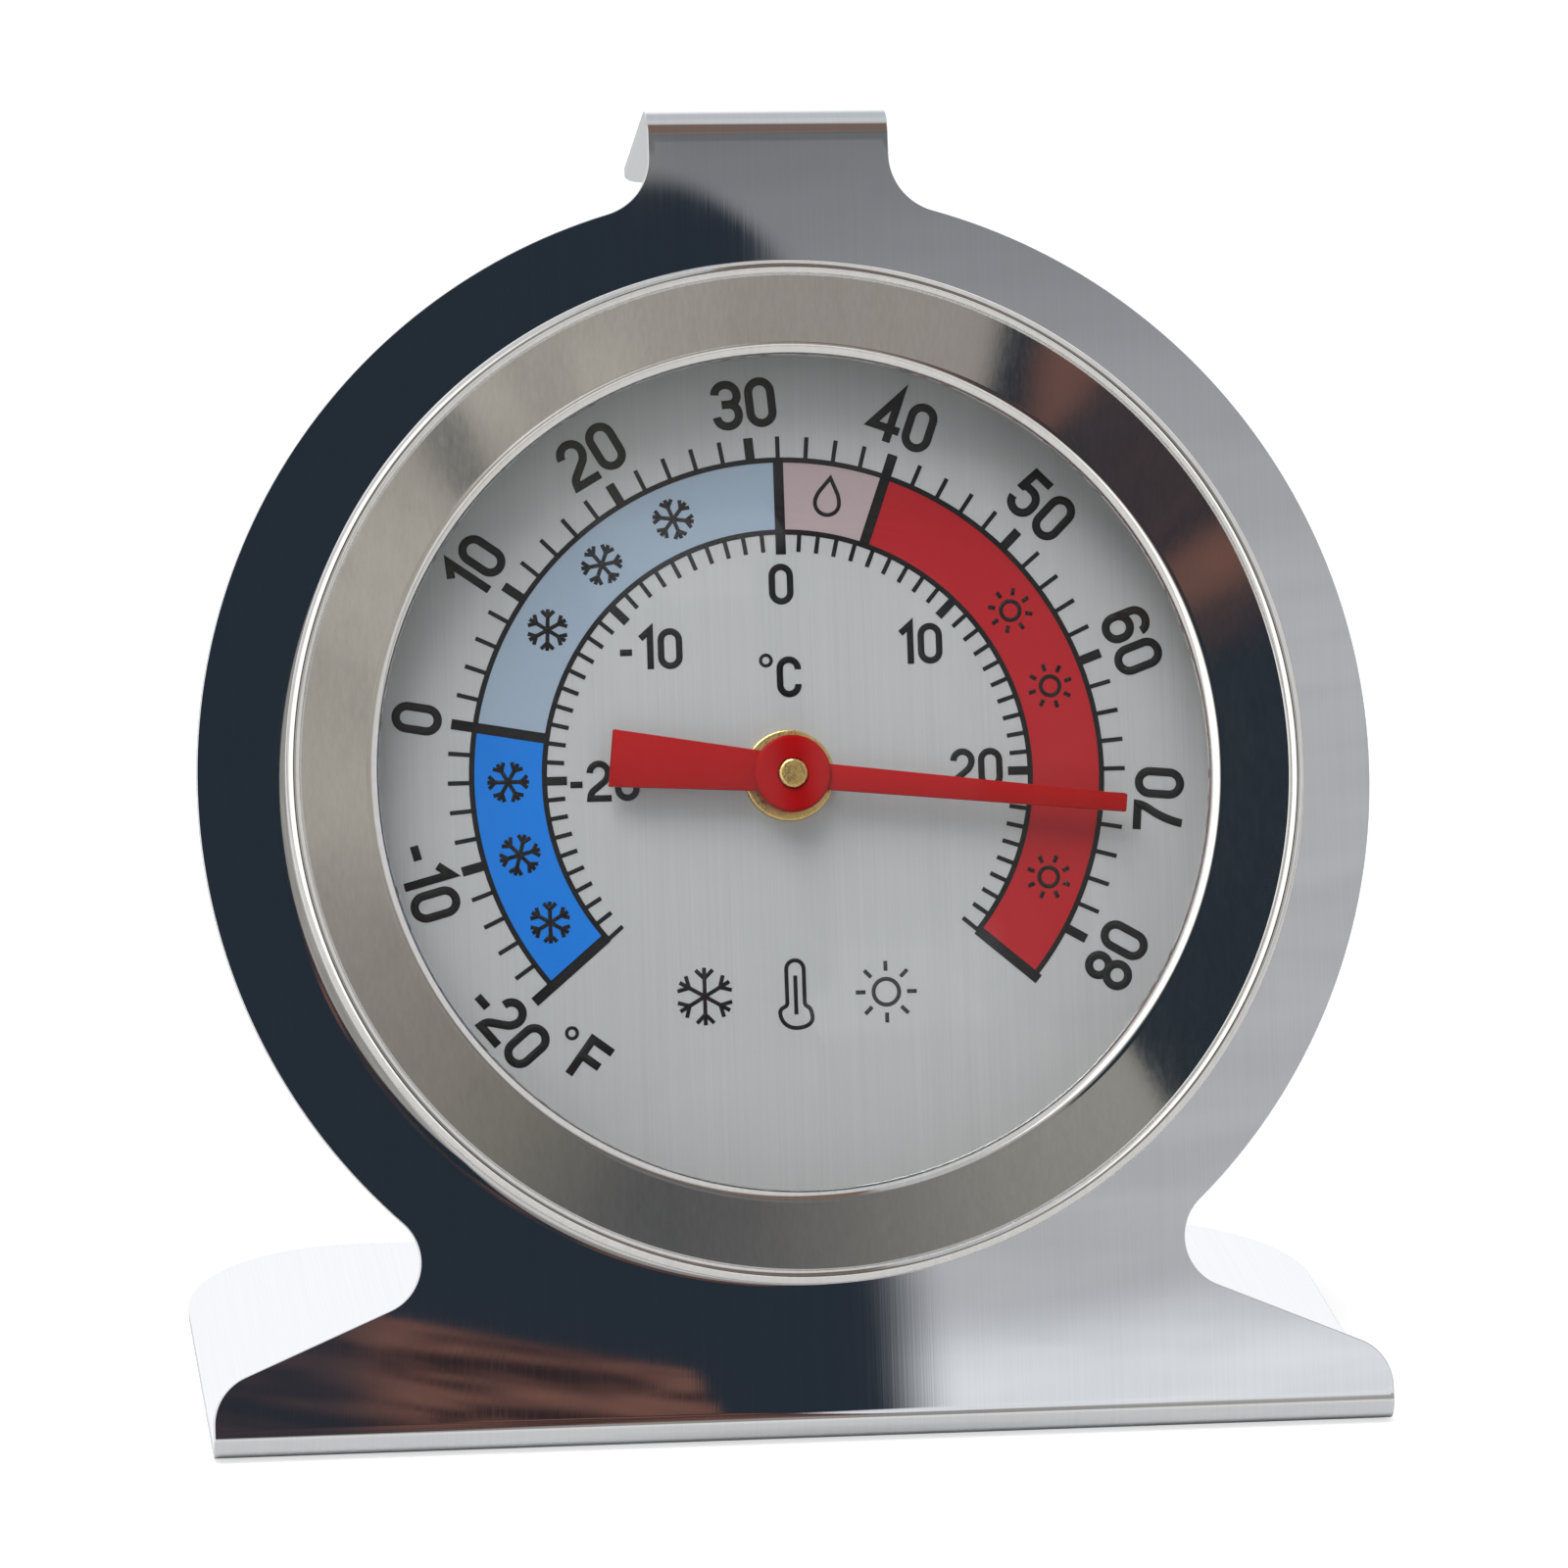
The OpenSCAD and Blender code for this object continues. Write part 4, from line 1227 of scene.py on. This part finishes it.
# Warm timber low in the dark shape, with its grain in long arcs
def paintTimber(tree, turn, rise, colour, s):
    grain = fadeIn(tree, streaks(tree, turn, rise, *s["grainScales"]), *s["grainSpread"])
    timber = mixColours(tree, grain, s["dark"], s["light"])
    top = mathNode(tree, "MULTIPLY_ADD", turn, s["topSlope"], s["topRise"])
    under = fadeIn(tree, mathNode(tree, "SUBTRACT", top, rise), *s["topSoft"])
    end = mathNode(tree, "ADD", turn, times(tree, rise, s["endSlope"]))
    place = patch(tree, turn, rise, *s["patch"])
    fade = rangeNode(tree, turn, *s["fadeTurn"], s["fadeShare"], 1.0)
    plank = times(tree, under, fadeOut(tree, end, *s["end"]), place, fade)
    return mixColours(tree, plank, colour, timber)


worldSet = {
    "ambient": (0.5, 0.5, 0.5, 1), "paper": (1.0, 1.0, 1.0, 1),
    "spots": (  # small glints and a dark spot: patch, colour, strength
        (((1.6, 3.1), (16.6, 17.5), 0.3, 0.3), timberSet["light"], 0.8),
        (((-1.9, -0.6), (20.2, 21.3), 0.3, 0.3), timberSet["light"], 0.8),
        (((15.1, 16.7), (17.1, 17.9), 0.3, 0.3), darkShapeSet["colour"], 0.6),
    ),
}


def makeWorld(s):
    world = bpy.data.worlds.new("studio")
    bpy.context.scene.world = world
    world.use_nodes = True
    tree = world.node_tree
    background = tree.nodes["Background"]
    coordinates = addNode(tree, "ShaderNodeTexCoord")
    split = addNode(tree, "ShaderNodeSeparateXYZ")
    plug(tree, coordinates.outputs["Generated"], split.inputs[0])
    front = times(tree, split.outputs["Y"], -1.0)
    turn = mathNode(tree, "DEGREES", mathNode(tree, "ARCTAN2", split.outputs["X"], front))
    rise = mathNode(tree, "DEGREES", mathNode(tree, "ARCSINE", split.outputs["Z"]))
    colour = paintRoom(tree, turn, rise, roomSet)
    colour = paintWall(tree, turn, rise, colour, wallSet)
    colour = paintDarkShape(tree, turn, rise, colour, darkShapeSet)
    colour = paintTimber(tree, turn, rise, colour, timberSet)
    for place, tint, share in s["spots"]:
        spot = times(tree, patch(tree, turn, rise, *place), share)
        colour = mixColours(tree, spot, colour, tint)
    # Camera rays see plain paper and diffuse rays an even grey
    rays = addNode(tree, "ShaderNodeLightPath").outputs
    unpainted = mathNode(tree, "MAXIMUM", rays["Is Camera Ray"], rays["Is Diffuse Ray"])
    plain = mixColours(tree, rays["Is Camera Ray"], s["ambient"], s["paper"])
    plug(tree, mixColours(tree, unpainted, colour, plain), background.inputs["Color"])
    background.inputs["Strength"].default_value = 1.0


makeFloor(floorSet)
makeWorld(worldSet)
makeLight("keyLight", keyLightSet)
print("light set")
